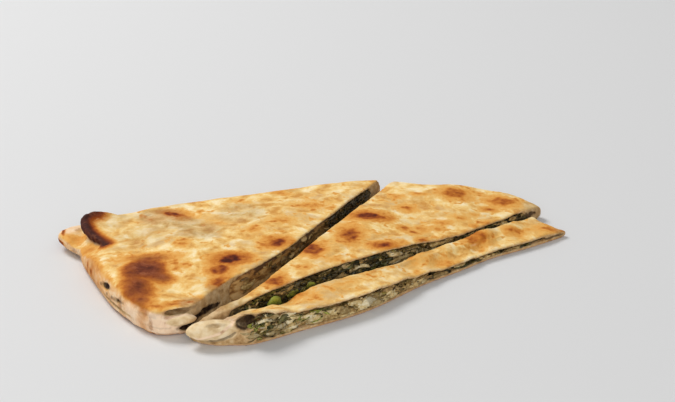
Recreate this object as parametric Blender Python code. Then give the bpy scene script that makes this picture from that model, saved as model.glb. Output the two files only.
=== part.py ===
"""A gozleme cut in three: thin flatbread folded round chopped spinach and crumbled white cheese.

Each slice is one folded sheet of dough, open where the knife went through, with the filling
that runs through it as a second solid. X points right, Y away from the viewer and Z up.
Sizes are millimetres; places in plan are measured from a point on the middle slice.
"""
import math
import random
from dataclasses import dataclass, field

import bmesh
import bpy
from mathutils import Matrix, Vector, noise

MM = 0.001
PLAN_CENTRE = (1.4, -25.7)      # the middle of the whole plan, which becomes the origin

TOP_SHEET = 1.5                 # thickness of the upper layer of dough
BOTTOM_SHEET = 1.5              # thickness of the lower layer of dough
THINNEST_POCKET = 1.3           # room left for the filling at the thin ends
POCKET_ROUNDING = 3.0           # radius at the pocket's closed edges
CLEARANCE = 0.35                # air between dough and filling
CORE_RECESS = 0.9               # the filling's core stops this far behind the knife cut
BLADE_REACH = 60.0              # how far a blade clears the dough beside its line
BLADE_LOW, BLADE_HIGH = -10.0, 40.0
CRUMPLE = 0.45                  # height of the slow waves in the crust
CRUMPLE_SPAN = 13.0             # length of those waves
BLISTER_FALL = 1.4              # how quickly a blister falls away

SIDE_STEPS = 3                  # rings over a folded edge, from its side to its top
FOOT_STEPS = 2                  # rings under a folded edge
RING_REACH = 0.82               # the last ring lies this far in towards the spine
POCKET_AROUND, POCKET_ACROSS = 40, 3

# Outlines in plan, as the dough lay before it was cut: they run anticlockwise, past the knife.
LEFT_DOUGH = [(-59, -91), (-48, -88), (-28, -82), (8, -48), (44, 22), (48, 46), (8, 45), (-25, 32),
              (-66, 19), (-86, 9), (-97, 2), (-101, -8), (-99, -24), (-91, -46), (-82, -66), (-70, -83)]
MIDDLE_DOUGH = [(-46, -93), (-16, -92), (26, -56), (80, -20), (108, 14), (108, 28), (100, 37), (89, 44.5),
                (71, 48.5), (50, 47.5), (28, 49), (14, 26), (-10, -18), (-36, -66)]
FRONT_DOUGH = [(-51, -86), (-50, -92), (-42, -104), (-6, -104), (44, -62), (88, -22), (112, -4),
               (117, 8), (111, 14), (104, 20), (96, 28), (70, 16), (20, -30), (-28, -68), (-46, -80)]
TONGUE = [(-112, -2), (-110, 4), (-104, 8), (-92, 8), (-84, -6), (-90, -22), (-100, -16), (-108, -9)]

# The room between the two layers of each slice, also past the knife.
LEFT_POCKET = [(-62, -74), (-30, -66), (12, -44), (48, 22), (58, 40), (14, 36), (-25, 24), (-66, 10),
               (-77, 0), (-81, -14), (-77, -42), (-72, -64)]
MIDDLE_POCKET = [(-26, -96), (-6, -98), (36, -62), (92, -20), (100, 14), (92, 28), (70, 36), (46, 38),
                 (16, 46), (-2, 26), (-34, -30), (-34, -76)]
FRONT_POCKET = [(-21, -93), (-18, -108), (4, -108), (52, -70), (96, -26), (106, 2), (92, 26),
                (60, 22), (10, -22), (-12, -58), (-13, -78), (-18, -86)]

# The knife's lines. What is cut away lies to the right of each line.
LEFT_CUT = [(-56, -98), (-50, -88.5), (-45, -81), (-39.5, -72.5), (-32.5, -63), (-24, -55), (-9, -33),
            (4.5, -6.5), (21, 26.5), (30, 43), (36, 56)]
MIDDLE_BACK_CUT = [(43, 58), (31, 34.5), (20, 12.5), (4, -20), (-10, -47), (-24, -72.5), (-32.5, -80),
                   (-44, -86.5), (-54, -91.5)]
MIDDLE_FRONT_CUT = [(-54, -91), (-42, -89.5), (-30, -84.5), (-16, -72), (-4, -61), (24, -38),
                    (49, -20), (76, 3), (102, 28), (112, 38)]
FRONT_BACK_CUT = [(110, 32), (98, 20), (75, -1), (49, -24), (24, -44), (-4, -66), (-20, -81),
                  (-30, -87.5), (-40, -91), (-54, -92)]
FRONT_CUT = [(-56, -86), (-48.5, -91.5), (-41, -96.5), (-31, -97.5), (-21, -96), (-3, -84.5),
             (24, -66.5), (48, -41.5), (65, -26.8), (80, -13.4), (98, -1.6), (120, 15)]

# The crust's height above the table at places in plan: x, y, height.
LEFT_POSTS = [(-94, -5, 13.4), (-90, -13, 12.6), (-84, -3, 13.6), (-84, -30, 13), (-77, -60, 13),
              (-67, -80, 12), (-50, -80, 12), (-40, -70, 13), (-24, -58, 15), (-4, -27, 15),
              (18, 13, 14.5), (32, 38, 14), (0, 36, 14), (-30, 22, 14.5), (-60, 10, 14),
              (-50, -30, 15.5), (-20, 0, 15.5)]
MIDDLE_POSTS = [(-46, -89, 6), (-31, -84, 11.5), (-19, -74, 13), (-9, -65, 13), (-4, -52, 13.5),
                (10, -25, 14), (24, -38, 13), (20, 2, 13.5), (34, 34, 12.5), (55, 38, 12), (47, -21, 12.2),
                (58, -12, 9.8), (62, 8, 11.6), (68, -4, 8.2), (77, 3, 8.6), (88, 14, 8.3), (90, 30, 9.4),
                (102, 27, 7)]
FRONT_POSTS = [(-49, -90, 3.6), (-42, -95, 4.6), (-35, -96, 5.2), (-31, -97.5, 9), (-25, -97, 15),
               (-18, -94.5, 14.4), (-11, -90, 12.2), (-42, -87, 4.8), (-31, -88, 8.6), (-26.5, -86, 10.2),
               (-18, -79.5, 8.8), (-10, -72, 6.8), (-3, -84.5, 9.8), (-3, -65, 8.8), (3, -61, 10),
               (9, -72, 9.2), (24, -57, 9.2), (36, -50, 8), (48, -39, 6.2), (48, -26, 8.4), (58, -31, 4.8),
               (58, -18, 8.2), (66, -24, 4.8), (66, -10, 7.8), (75, -15.5, 3.8), (75, -3, 8.6),
               (85, -8, 4.2), (87, 9, 7), (97, 0, 4.2), (101, 10, 4.8), (114, 9, 3.4)]

# Blisters, and dents with a height below zero: x, y, half-length, half-width, turn, height.
LEFT_BLISTERS = [(-74, -55, 17, 11, -62, 1.5), (-46, -66, 10, 6, 20, 0.8), (-30, -38, 8, 5, 40, 0.7),
                 (-62, -28, 12, 9, 10, 0.7), (-16, -10, 11, 8, 60, 0.6), (-52, 2, 14, 3, -35, -0.8),
                 (4, 22, 10, 7, 30, 0.6)]
MIDDLE_BLISTERS = [(22, -6, 8, 6, 20, 0.8), (8, -36, 9, 6, 50, 0.8), (36, -24, 9, 6, 35, 0.7),
                   (48, 30, 10, 5, 0, 0.7), (70, 22, 9, 6, -20, 0.6), (44, 4, 9, 6, 0, -0.5)]
FRONT_BLISTERS = [(8, -66, 9, 4, 40, 0.6), (36, -40, 9, 4, 40, 0.5), (62, -16, 8, 4, 40, 0.4)]

# The corner turned up over the tongue: points with heights, and the roll's radius along them.
LIP_PATH = [(-83, 1, 13.2), (-90, 1.5, 14.2), (-96, 0, 14.6), (-98.8, -5, 14), (-97, -12, 12.8),
            (-93, -18.5, 12.2), (-88.2, -24.6, 12.2)]
LIP_RADII = (1.0, 1.8, 2.2, 2.4, 2.1, 1.5, 0.7)

# The valley under that corner, which runs down to the tongue: its outline in plan, the line that its
# rings close in on, the height of its rim, and the height of its floor at places in plan.
VALLEY = [(-94, 12), (-97, 4), (-98, -4), (-96.5, -12), (-93, -18.5), (-88.8, -24.5), (-87, -31),
          (-88, -44), (-94, -54), (-108, -42), (-118, -22), (-122, -4), (-118, 10), (-106, 18)]
VALLEY_SPINE = ((-108, 0), (-99, -30))
VALLEY_RIM, VALLEY_TOP, VALLEY_ROUNDING = 12.5, 30.0, 3.0
VALLEY_POSTS = [(-112, 0, 9), (-106, 4, 8.6), (-101, 6, 7.4), (-99.6, -4.3, 6.8), (-96.5, -11.9, 7.3),
                (-92.5, -20.6, 9), (-88.6, -26.5, 11.8), (-87, -31.5, 13.2), (-108, -8, 8),
                (-102.7, -12.7, 5.6), (-97.9, -23.5, 7.2), (-93.4, -31.0, 9.8), (-90, -36.5, 12.2),
                (-87.5, -41, 13.6), (-93, -48, 14)]
VALLEY_REACH = 3.0

# The lower layer that juts out there; its nose is lifted off the table.
TONGUE_NOSE_X, TONGUE_ROOT_X = -112.0, -96.0
TONGUE_LOW, TONGUE_HIGH = (2.4, 0.4), (8.4, 7.2)        # at the nose and at the root
TONGUE_ROUNDING = 3.2

# Creases and holes as paths with radii: the crease between the layers in the left wall, the crevice
# at that slice's near end, the holes in its wall, and the crease under the front slice's knot.
WALL_CREASE = ([(-99, -28, 4.4), (-93, -43, 4.2), (-86, -58, 4.0), (-77, -74, 4.0), (-68, -86, 4.4)],
               (0.5, 1.0, 0.8, 1.0, 0.5))
CREVICE = ([(-54, -92, 4.0), (-49.8, -88.5, 3.5), (-47.2, -84.2, 3.7), (-44.4, -80.2, 5.2),
            (-40.8, -74.8, 5.6), (-37, -68.8, 5.2)], (0.8, 1.8, 1.5, 1.2, 1.7, 0.6))
WALL_HOLES = [([(-87.4, -54, 7.6), (-84.4, -59.6, 8.8), (-82.2, -63.6, 9.6)], (0.5, 1.3, 0.7)),
              ([(-84, -60.9, 6.1), (-83.2, -62.4, 6.4)], (0.6, 0.6)),
              ([(-81.6, -66, 6.8), (-78.9, -70.4, 7.3), (-76.2, -75, 8.2)], (0.5, 0.9, 0.5))]
KNOT_CREASE = ([(-43.5, -95.6, 2.6), (-41, -97, 2.4), (-37.5, -97.7, 2.4), (-34, -97.9, 3.1),
                (-31, -97.9, 4.3), (-29, -97.6, 6.2)], (0.5, 0.8, 0.8, 0.8, 0.7, 0.4))

# Ellipsoids: centre, half-sizes, turn about Z.
NEAR_SLOT = ((-52.5, -87, 10.4), (9.5, 5.0, 0.8), 19)
NEAR_FOLD = ((-51.8, -88.2, 7.3), (7.4, 3.4, 2.0), 15)
KNOT = ((-38.2, -95.9, 6.4), (11.0, 4.7, 4.1), 10)
CURL_HOLLOW = ((-24.6, -96.8, 10.5), (4.2, 5.5, 3.2), 10)

# Chopped filling that shows at the cuts.
PIECE_STEP = 6.9                # length of a cut for each piece in a row
PIECE_ROWS = 4
ROW_HEIGHT = 2.7
ROW_WANDER = 0.3                # how far a piece strays up or down from its row
PIECE_SPREAD = (0.75, 1.1)      # the smallest and largest size against the sizes below
LEAF_SIZE = (2.9, 1.9, 0.75)    # half sizes of a flattened scrap of leaf
CRUMB_SIZE = (1.7, 1.5, 1.25)   # half sizes of a crumb of cheese
LEAF_SHARE = 0.62               # how many of the pieces are leaf
PIECE_PROUD = (0.1, 0.7)        # how far a piece stands out of the cut
PIECE_TURN, PIECE_TILT = 25, 8  # degrees either way
AIR_BELOW, AIR_ABOVE = 0.3, 0.6  # extra air between a piece and the dough
SEED = 7

CRUST_LOOK = ((0.76, 0.55, 0.29), 0.72)
FILLING_LOOK = ((0.12, 0.16, 0.06), 0.55)


@dataclass
class Slice:
    """One slice: its outline, heights and cuts."""
    name: str
    dough: list                 # outline of the folded sheet
    spine: tuple                # line that the outline's rings close in on
    pocket: list                # outline of the room for the filling
    pocket_spine: tuple
    posts: list
    post_reach: float           # how far a post's height holds
    blisters: list
    wave: float                 # which stretch of the crumple it takes
    rounding: float             # radius of the folded edge
    side: float                 # height of the fold's side, as a share of the crust's height
    cuts: list
    piece_spans: list           # stretch of each cut that shows filling
    around: int                 # points round the outline
    across: int                 # rings between the edge and the spine
    tight: list = field(default_factory=list)           # x, y, reach and radius of a tighter fold
    solver: str = "EXACT"


SLICES = [
    Slice("left_slice", LEFT_DOUGH, ((-74, -44), (2, 16)), LEFT_POCKET, ((-70, -44), (2, 14)),
          LEFT_POSTS, 9.0, LEFT_BLISTERS, 0.0, 7.0, 0.4, [LEFT_CUT], [(49, 156)], 64, 4,
          tight=[(-99, -8, 26, 2.6), (-56, -91, 18, 3.6), (-88, -52, 34, 4.5)]),
    Slice("middle_slice", MIDDLE_DOUGH, ((-14, -64), (62, 14)), MIDDLE_POCKET, ((-10, -62), (62, 12)),
          MIDDLE_POSTS, 9.0, MIDDLE_BLISTERS, 31.0, 5.0, 0.4, [MIDDLE_BACK_CUT, MIDDLE_FRONT_CUT],
          [(26, 140), (32, 186)], 60, 4),
    # The exact solver loses this thin slice, so it is cut with the other one.
    Slice("front_slice", FRONT_DOUGH, ((-34, -90), (98, 8)), FRONT_POCKET, ((-14, -84), (88, 0)),
          FRONT_POSTS, 3.5, FRONT_BLISTERS, 57.0, 4.0, 0.42, [FRONT_BACK_CUT, FRONT_CUT],
          [(26, 136), (42, 190)], 68, 3, solver="MANIFOLD"),
]


# Scene -------------------------------------------------------------------------------------------

def clear_scene():
    for thing in list(bpy.data.objects):
        bpy.data.objects.remove(thing, do_unlink=True)


def new_collection(name):
    collection = bpy.data.collections.new(name)
    bpy.context.scene.collection.children.link(collection)
    return collection


def new_material(name, look):
    colour, roughness = look
    material = bpy.data.materials.new(name)
    material.use_nodes = True
    shader = material.node_tree.nodes["Principled BSDF"]
    shader.inputs["Base Color"].default_value = (*colour, 1.0)
    shader.inputs["Roughness"].default_value = roughness
    shader.inputs["Metallic"].default_value = 0.0
    return material


def to_world(x, y, z):
    """Millimetres of the plan to metres round the origin."""
    return Vector(((x - PLAN_CENTRE[0]) * MM, (y - PLAN_CENTRE[1]) * MM, z * MM))


def object_from(bm, name, collection):
    bmesh.ops.recalc_face_normals(bm, faces=bm.faces)
    mesh = bpy.data.meshes.new(name)
    bm.to_mesh(mesh)
    bm.free()
    thing = bpy.data.objects.new(name, mesh)
    collection.objects.link(thing)
    thing.hide_render = True
    thing.display_type = "WIRE"
    return thing


def make_part(thing, guides, parts, material):
    """Turns a finished guide into a part of the model."""
    guides.objects.unlink(thing)
    parts.objects.link(thing)
    thing.hide_render = False
    thing.display_type = "TEXTURED"
    thing.data.materials.clear()
    thing.data.materials.append(material)


# Plan curves -------------------------------------------------------------------------------------

def through(points, closed, steps):
    """A smooth curve through a few points (Catmull-Rom)."""
    pts = [Vector(p) for p in points]
    n = len(pts)
    curve = []
    for i in range(n if closed else n - 1):
        if closed:
            a, b, c, d = (pts[(i + k) % n] for k in (-1, 0, 1, 2))
        else:
            b, c = pts[i], pts[i + 1]
            a = pts[i - 1] if i else b * 2 - c
            d = pts[i + 2] if i + 2 < n else c * 2 - b
        for j in range(steps):
            t = j / steps
            curve.append(0.5 * (2 * b + (c - a) * t + (2 * a - 5 * b + 4 * c - d) * t ** 2
                                + (3 * b - a - 3 * c + d) * t ** 3))
    if not closed:
        curve.append(pts[-1])
    return curve


def at_length(curve, target):
    """The place at a length along a curve."""
    for a, b in zip(curve, curve[1:]):
        span = (b - a).length
        if target <= span:
            return a.lerp(b, target / span)
        target -= span
    return curve[-1].copy()


def evenly(curve, count):
    """A closed curve as points at equal distances."""
    loop = curve + [curve[0]]
    length = sum((b - a).length for a, b in zip(loop, loop[1:]))
    return [at_length(loop, length * i / count) for i in range(count)]


def nearest_on(segment, point):
    a, b = Vector(segment[0]), Vector(segment[1])
    along = max(0.0, min(1.0, (point - a).dot(b - a) / (b - a).length_squared))
    return a.lerp(b, along)


def right_of(curve):
    """The direction to the right of a line, from its first point to its last."""
    run = curve[-1] - curve[0]
    return Vector((run.y, -run.x)).normalized()


# Heights -----------------------------------------------------------------------------------------

def post_height(posts, reach, x, y):
    """Height of a surface between its posts, each weighted by how near it is."""
    total = weights = 0.0
    for px, py, pz in posts:
        weight = ((x - px) ** 2 + (y - py) ** 2 + reach ** 2) ** -2
        total += weight * pz
        weights += weight
    return total / weights


def blister_height(slice_, x, y):
    height = 0.0
    for bx, by, half_length, half_width, turn, rise in slice_.blisters:
        c, s = math.cos(math.radians(turn)), math.sin(math.radians(turn))
        u = ((x - bx) * c + (y - by) * s) / half_length
        v = ((y - by) * c - (x - bx) * s) / half_width
        height += rise * math.exp(-(u * u + v * v) * BLISTER_FALL)
    return height


def crust_height(slice_, x, y):
    wave = noise.noise(Vector((x, y, slice_.wave)) / CRUMPLE_SPAN)
    height = post_height(slice_.posts, slice_.post_reach, x, y)
    return height + blister_height(slice_, x, y) + CRUMPLE * wave


def fold_radius(slice_, x, y):
    radius = slice_.rounding
    for px, py, reach, tight in slice_.tight:
        share = max(0.0, 1.0 - math.hypot(x - px, y - py) / reach)
        radius += (tight - radius) * min(1.0, 2.0 * share)
    return radius


# Solids ------------------------------------------------------------------------------------------

def pillow(name, outline, spine, top, foot, side, rounding, around, across, guides):
    """A soft closed form whose rings run in from an outline to a spine, above and below.

    top, foot and side give the height of the upper face, the lower face and the outline itself
    at a place in plan, and rounding the radius of the edge.
    """
    loop = evenly(through(outline, True, 12), around)
    bm = bmesh.new()

    def ring(goal, bend_angle, field_share):
        verts = []
        for point in loop:
            centre = nearest_on(spine, point)
            reach = (centre - point).length
            bend = min(rounding(point.x, point.y), 0.6 * reach)
            inward = bend * (1 - math.cos(bend_angle)) + (reach - bend) * field_share
            place = point.lerp(centre, inward / reach)
            low = side(place.x, place.y)
            high = goal(place.x, place.y)
            verts.append(bm.verts.new(to_world(place.x, place.y, low + (high - low) * math.sin(bend_angle))))
        return verts

    edge = ring(top, 0.0, 0.0)
    for goal, edge_steps, field_steps in ((foot, FOOT_STEPS, 1), (top, SIDE_STEPS, across)):
        quarter = math.pi / 2
        steps = [(quarter * k / edge_steps, 0.0) for k in range(1, edge_steps + 1)]
        steps += [(quarter, RING_REACH * k / field_steps) for k in range(1, field_steps + 1)]
        last = edge
        for bend_angle, field_share in steps:
            inner = ring(goal, bend_angle, field_share)
            for i in range(around):
                j = (i + 1) % around
                bm.faces.new((last[i], last[j], inner[j], inner[i]))
            last = inner
        bmesh.ops.triangulate(bm, faces=[bm.faces.new(last)])
    return object_from(bm, name, guides)


def ball(name, centre, half_sizes, turn, guides, subdivisions=2, tilt=0.0):
    """An ellipsoid, turned about Z and tilted on its own Y."""
    bm = bmesh.new()
    bmesh.ops.create_icosphere(bm, subdivisions=subdivisions, radius=MM)
    place = (Matrix.Translation(to_world(*centre)) @ Matrix.Rotation(math.radians(turn), 4, "Z")
             @ Matrix.Rotation(math.radians(tilt), 4, "Y") @ Matrix.Diagonal((*half_sizes, 1.0)))
    bmesh.ops.transform(bm, matrix=place, verts=bm.verts)
    return object_from(bm, name, guides)


def roll(name, path, radii, guides, resolution):
    """A closed tube along a path, thinner or thicker on its way."""
    curve = bpy.data.curves.new(name, "CURVE")
    curve.dimensions = "3D"
    curve.bevel_depth = MM
    curve.bevel_resolution = resolution
    curve.use_fill_caps = True
    spline = curve.splines.new("POLY")
    smooth = through(path, False, 3)
    spline.points.add(len(smooth) - 1)
    for i, place in enumerate(smooth):
        along = i / (len(smooth) - 1) * (len(radii) - 1)
        k = min(int(along), len(radii) - 2)
        spline.points[i].co = (*to_world(*place), 1.0)
        spline.points[i].radius = radii[k] + (radii[k + 1] - radii[k]) * (along - k)
    tube = bpy.data.objects.new(name, curve)
    guides.objects.link(tube)
    mesh = bpy.data.meshes.new_from_object(tube.evaluated_get(bpy.context.evaluated_depsgraph_get()))
    bm = bmesh.new()
    bm.from_mesh(mesh)
    bmesh.ops.remove_doubles(bm, verts=bm.verts, dist=1e-6)
    bpy.data.objects.remove(tube, do_unlink=True)
    return object_from(bm, name, guides)


def blade(line, inset, guides):
    """What the knife takes away: a tall block to the right of its line."""
    curve = through(line, False, 3 if len(line) > 2 else 1)
    away = right_of(curve)
    near = [p - away * inset for p in curve]
    outline = near + [near[-1] + away * BLADE_REACH, near[0] + away * BLADE_REACH]
    bm = bmesh.new()
    face = bm.faces.new([bm.verts.new(to_world(p.x, p.y, BLADE_LOW)) for p in outline])
    raised = bmesh.ops.extrude_face_region(bm, geom=[face])["geom"]
    upper = [v for v in raised if isinstance(v, bmesh.types.BMVert)]
    bmesh.ops.translate(bm, verts=upper, vec=(0, 0, (BLADE_HIGH - BLADE_LOW) * MM))
    return object_from(bm, "blade", guides)


def boolean(target, operation, cutter, solver):
    """Applies one Boolean and removes the cutter."""
    step = target.modifiers.new(operation.title(), "BOOLEAN")
    step.operation = operation
    step.solver = solver
    step.object = cutter
    apply_modifiers(target)
    bpy.data.objects.remove(cutter, do_unlink=True)


def apply_modifiers(thing):
    graph = bpy.context.evaluated_depsgraph_get()
    mesh = bpy.data.meshes.new_from_object(thing.evaluated_get(graph))
    thing.modifiers.clear()
    thing.data = mesh


def keep_largest(thing):
    """Drops the loose scraps that a cut leaves."""
    bm = bmesh.new()
    bm.from_mesh(thing.data)
    unseen = set(bm.verts)
    bodies = []
    while unseen:
        front = [unseen.pop()]
        body = []
        while front:
            vert = front.pop()
            body.append(vert)
            for edge in vert.link_edges:
                other = edge.other_vert(vert)
                if other in unseen:
                    unseen.remove(other)
                    front.append(other)
        bodies.append(body)
    bodies.sort(key=len)
    for body in bodies[:-1]:
        bmesh.ops.delete(bm, geom=body, context="VERTS")
    bm.to_mesh(thing.data)
    bm.free()


# Bread -------------------------------------------------------------------------------------------

def uncut_bread(slice_, guides):
    return pillow(slice_.name + "_bread", slice_.dough, slice_.spine,
                  lambda x, y: crust_height(slice_, x, y),
                  lambda x, y: 0.0,
                  lambda x, y: slice_.side * crust_height(slice_, x, y),
                  lambda x, y: fold_radius(slice_, x, y),
                  slice_.around, slice_.across, guides)


def pocket(slice_, gap, guides):
    """The room for the filling between the two layers, less a gap on every side."""
    def ceiling(x, y):
        return max(crust_height(slice_, x, y) - TOP_SHEET, BOTTOM_SHEET + THINNEST_POCKET) - gap

    def floor(x, y):
        return BOTTOM_SHEET + gap

    def middle(x, y):
        return 0.5 * (ceiling(x, y) + floor(x, y))

    outline = []
    for point in slice_.pocket:
        point = Vector(point)
        outline.append(point + (nearest_on(slice_.pocket_spine, point) - point).normalized() * gap)
    return pillow(slice_.name + "_pocket", outline, slice_.pocket_spine, ceiling, floor, middle,
                  lambda x, y: POCKET_ROUNDING, POCKET_AROUND, POCKET_ACROSS, guides)


def tongue(guides):
    """The lower layer that juts out under the turned-up corner."""
    def between(ends):
        def height(x, y):
            share = max(0.0, min(1.0, (x - TONGUE_NOSE_X) / (TONGUE_ROOT_X - TONGUE_NOSE_X)))
            return ends[0] + (ends[1] - ends[0]) * share
        return height

    middle = [0.5 * (low + high) for low, high in zip(TONGUE_LOW, TONGUE_HIGH)]
    return pillow("tongue", TONGUE, ((-104, -2), (-94, -4)), between(TONGUE_HIGH), between(TONGUE_LOW),
                  between(middle), lambda x, y: TONGUE_ROUNDING, 24, 2, guides)


def valley(guides):
    """What is missing from the dough under the turned-up corner."""
    return pillow("valley", VALLEY, VALLEY_SPINE, lambda x, y: VALLEY_TOP,
                  lambda x, y: post_height(VALLEY_POSTS, VALLEY_REACH, x, y), lambda x, y: VALLEY_RIM,
                  lambda x, y: VALLEY_ROUNDING, 40, 2, guides)


def shape_corner(bread, guides, solver):
    """The turned-up corner, the valley under it and the tongue."""
    boolean(bread, "UNION", tongue(guides), solver)
    boolean(bread, "DIFFERENCE", valley(guides), solver)
    boolean(bread, "UNION", roll("lip", LIP_PATH, LIP_RADII, guides, 2), solver)


def carvings(slice_, guides):
    """Hollows, holes and creases in the dough."""
    if slice_.name == "left_slice":
        return ([ball("near_slot", *NEAR_SLOT, guides), roll("crevice", *CREVICE, guides, 0),
                 roll("wall_crease", *WALL_CREASE, guides, 0)]
                + [roll("wall_hole", *hole, guides, 0) for hole in WALL_HOLES])
    if slice_.name == "front_slice":
        return [roll("knot_crease", *KNOT_CREASE, guides, 0), ball("curl_hollow", *CURL_HOLLOW, guides)]
    return []


def knots(slice_, guides):
    """Dough gathered into folds: one at the left slice's near end, one at the front slice's."""
    if slice_.name == "left_slice":
        return [ball("near_fold", *NEAR_FOLD, guides)]
    return [ball("knot", *KNOT, guides)] if slice_.name == "front_slice" else []


def add_bread(slice_, parts, guides, material):
    bread = uncut_bread(slice_, guides)
    if slice_.name == "left_slice":
        shape_corner(bread, guides, slice_.solver)
    for line in slice_.cuts:
        boolean(bread, "DIFFERENCE", blade(line, 0.0, guides), slice_.solver)
    boolean(bread, "DIFFERENCE", pocket(slice_, 0.0, guides), slice_.solver)
    for knot in knots(slice_, guides):
        boolean(bread, "UNION", knot, slice_.solver)
    for carving in carvings(slice_, guides):
        boolean(bread, "DIFFERENCE", carving, slice_.solver)
    keep_largest(bread)
    make_part(bread, guides, parts, material)
    bread.data.shade_smooth()
    bread.data.set_sharp_from_angle(angle=math.radians(40))


# Filling -----------------------------------------------------------------------------------------

def scatter(slice_, line, span, pieces, rng):
    """Scraps of leaf and crumbs of cheese in rows along one cut."""
    curve = through(line, False, 6)
    away = right_of(curve)
    heading = math.degrees(math.atan2(away.x, -away.y))
    start, end = span
    for row in range(PIECE_ROWS):
        along = start + rng.random() * PIECE_STEP
        while along < end:
            point = at_length(curve, along)
            along += PIECE_STEP * rng.uniform(0.75, 1.25)
            shape = LEAF_SIZE if rng.random() < LEAF_SHARE else CRUMB_SIZE
            size = rng.uniform(*PIECE_SPREAD)
            half = [h * size for h in shape]
            lowest = BOTTOM_SHEET + CLEARANCE + AIR_BELOW + half[2]
            highest = (crust_height(slice_, point.x, point.y) - TOP_SHEET - CLEARANCE - AIR_ABOVE
                       - half[2])
            z = max(lowest, lowest + ROW_HEIGHT * row + rng.uniform(-ROW_WANDER, ROW_WANDER))
            if z > highest:
                continue
            place = point + away * (rng.uniform(*PIECE_PROUD) - half[1])
            ball("piece", (place.x, place.y, z), half, heading + rng.uniform(-PIECE_TURN, PIECE_TURN),
                 pieces, 1, rng.uniform(-PIECE_TILT, PIECE_TILT))


def fuse(core, pieces):
    """One union of a core with all its pieces, which are then removed."""
    step = core.modifiers.new("Fuse", "BOOLEAN")
    step.operation = "UNION"
    step.operand_type = "COLLECTION"
    step.collection = pieces
    step.solver = "MANIFOLD"        # the exact solver leaves open edges between some pieces
    apply_modifiers(core)
    for piece in list(pieces.objects):
        bpy.data.objects.remove(piece, do_unlink=True)
    bpy.data.collections.remove(pieces)


def add_filling(slice_, parts, guides, material, rng):
    core = pocket(slice_, CLEARANCE, guides)
    core.name = slice_.name + "_filling"
    for line in slice_.cuts:
        boolean(core, "DIFFERENCE", blade(line, CORE_RECESS, guides), slice_.solver)
    pieces = new_collection(slice_.name + "_pieces")
    for line, span in zip(slice_.cuts, slice_.piece_spans):
        scatter(slice_, line, span, pieces, rng)
    fuse(core, pieces)
    make_part(core, guides, parts, material)


def build():
    clear_scene()
    parts = new_collection("gozleme")
    guides = new_collection("guides")
    crust = new_material("crust", CRUST_LOOK)
    filling = new_material("filling", FILLING_LOOK)
    rng = random.Random(SEED)
    for slice_ in SLICES:
        add_bread(slice_, parts, guides, crust)
        add_filling(slice_, parts, guides, filling, rng)


build()
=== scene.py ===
"""The looks of a gozleme cut in three: griddled dough round chopped spinach and white cheese.

Shapes are worked out in millimetres of the plan that the solids use (X right, Y away, Z up, zero on
a point of the middle slice) and are turned into metres of the frame when a mesh is made.
"""
import itertools
import math
from dataclasses import dataclass

import bmesh
import bpy
import numpy as np
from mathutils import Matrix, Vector
from mathutils.bvhtree import BVHTree


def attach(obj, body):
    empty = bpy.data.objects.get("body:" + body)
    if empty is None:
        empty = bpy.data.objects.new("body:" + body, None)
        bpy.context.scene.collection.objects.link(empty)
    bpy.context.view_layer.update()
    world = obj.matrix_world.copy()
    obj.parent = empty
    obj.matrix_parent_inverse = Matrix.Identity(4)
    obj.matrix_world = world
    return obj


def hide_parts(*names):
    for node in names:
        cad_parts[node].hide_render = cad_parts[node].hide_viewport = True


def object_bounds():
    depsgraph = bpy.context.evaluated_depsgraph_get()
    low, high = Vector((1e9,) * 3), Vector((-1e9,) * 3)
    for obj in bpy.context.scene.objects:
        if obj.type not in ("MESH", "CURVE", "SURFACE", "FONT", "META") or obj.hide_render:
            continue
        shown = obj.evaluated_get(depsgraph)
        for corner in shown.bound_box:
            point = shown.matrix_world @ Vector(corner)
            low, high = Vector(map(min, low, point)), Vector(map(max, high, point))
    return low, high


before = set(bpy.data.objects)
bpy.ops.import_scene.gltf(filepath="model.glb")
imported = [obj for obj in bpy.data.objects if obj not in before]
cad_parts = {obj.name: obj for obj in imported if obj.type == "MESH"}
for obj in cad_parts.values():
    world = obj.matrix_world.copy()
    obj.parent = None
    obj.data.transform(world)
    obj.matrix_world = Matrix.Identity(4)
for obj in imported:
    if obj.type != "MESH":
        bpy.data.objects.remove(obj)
CAD_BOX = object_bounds()

MM = 0.001
PLAN_CENTRE = np.array((1.4, -25.7, 0.0))   # the plan's middle, which is the frame's origin

# Measures ---------------
TOP_SHEET, BOTTOM_SHEET = 1.5, 1.5      # thickness of the two layers
THINNEST_POCKET = 1.3                   # room left between them at the thin ends
POCKET_ROUNDING = 3.0
CRUMPLE, CRUMPLE_SPAN, CRUMPLE_SEED = 0.45, 13.0, 5     # height and length of the crust's slow waves
BLISTER_FALL = 1.4
BLADE_REACH, BLADE_LOW, BLADE_HIGH = 60.0, -10.0, 40.0

# Outlines in plan, as the dough lay before it was cut: they run anticlockwise, past the knife.
LEFT_DOUGH = [
    (-59, -91), (-48, -88), (-28, -82), (8, -48), (44, 22), (48, 46), (8, 45), (-25, 32), (-66, 19),
    (-86, 9), (-97, 2), (-101, -8), (-99, -24), (-91, -46), (-82, -66), (-70, -83)]
MIDDLE_DOUGH = [
    (-46, -93), (-16, -92), (26, -56), (80, -20), (108, 14), (108, 28), (100, 37), (89, 44.5), (71, 48.5),
    (50, 47.5), (28, 49), (14, 26), (-10, -18), (-36, -66)]
FRONT_DOUGH = [
    (-51, -86), (-50, -92), (-42, -104), (-6, -104), (44, -62), (88, -22), (112, -4), (117, 8), (111, 14),
    (104, 20), (96, 28), (70, 16), (20, -30), (-28, -68), (-46, -80)]
TONGUE = [(-112, -2), (-110, 4), (-104, 8), (-92, 8), (-84, -6), (-90, -22), (-100, -16), (-108, -9)]

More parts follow.
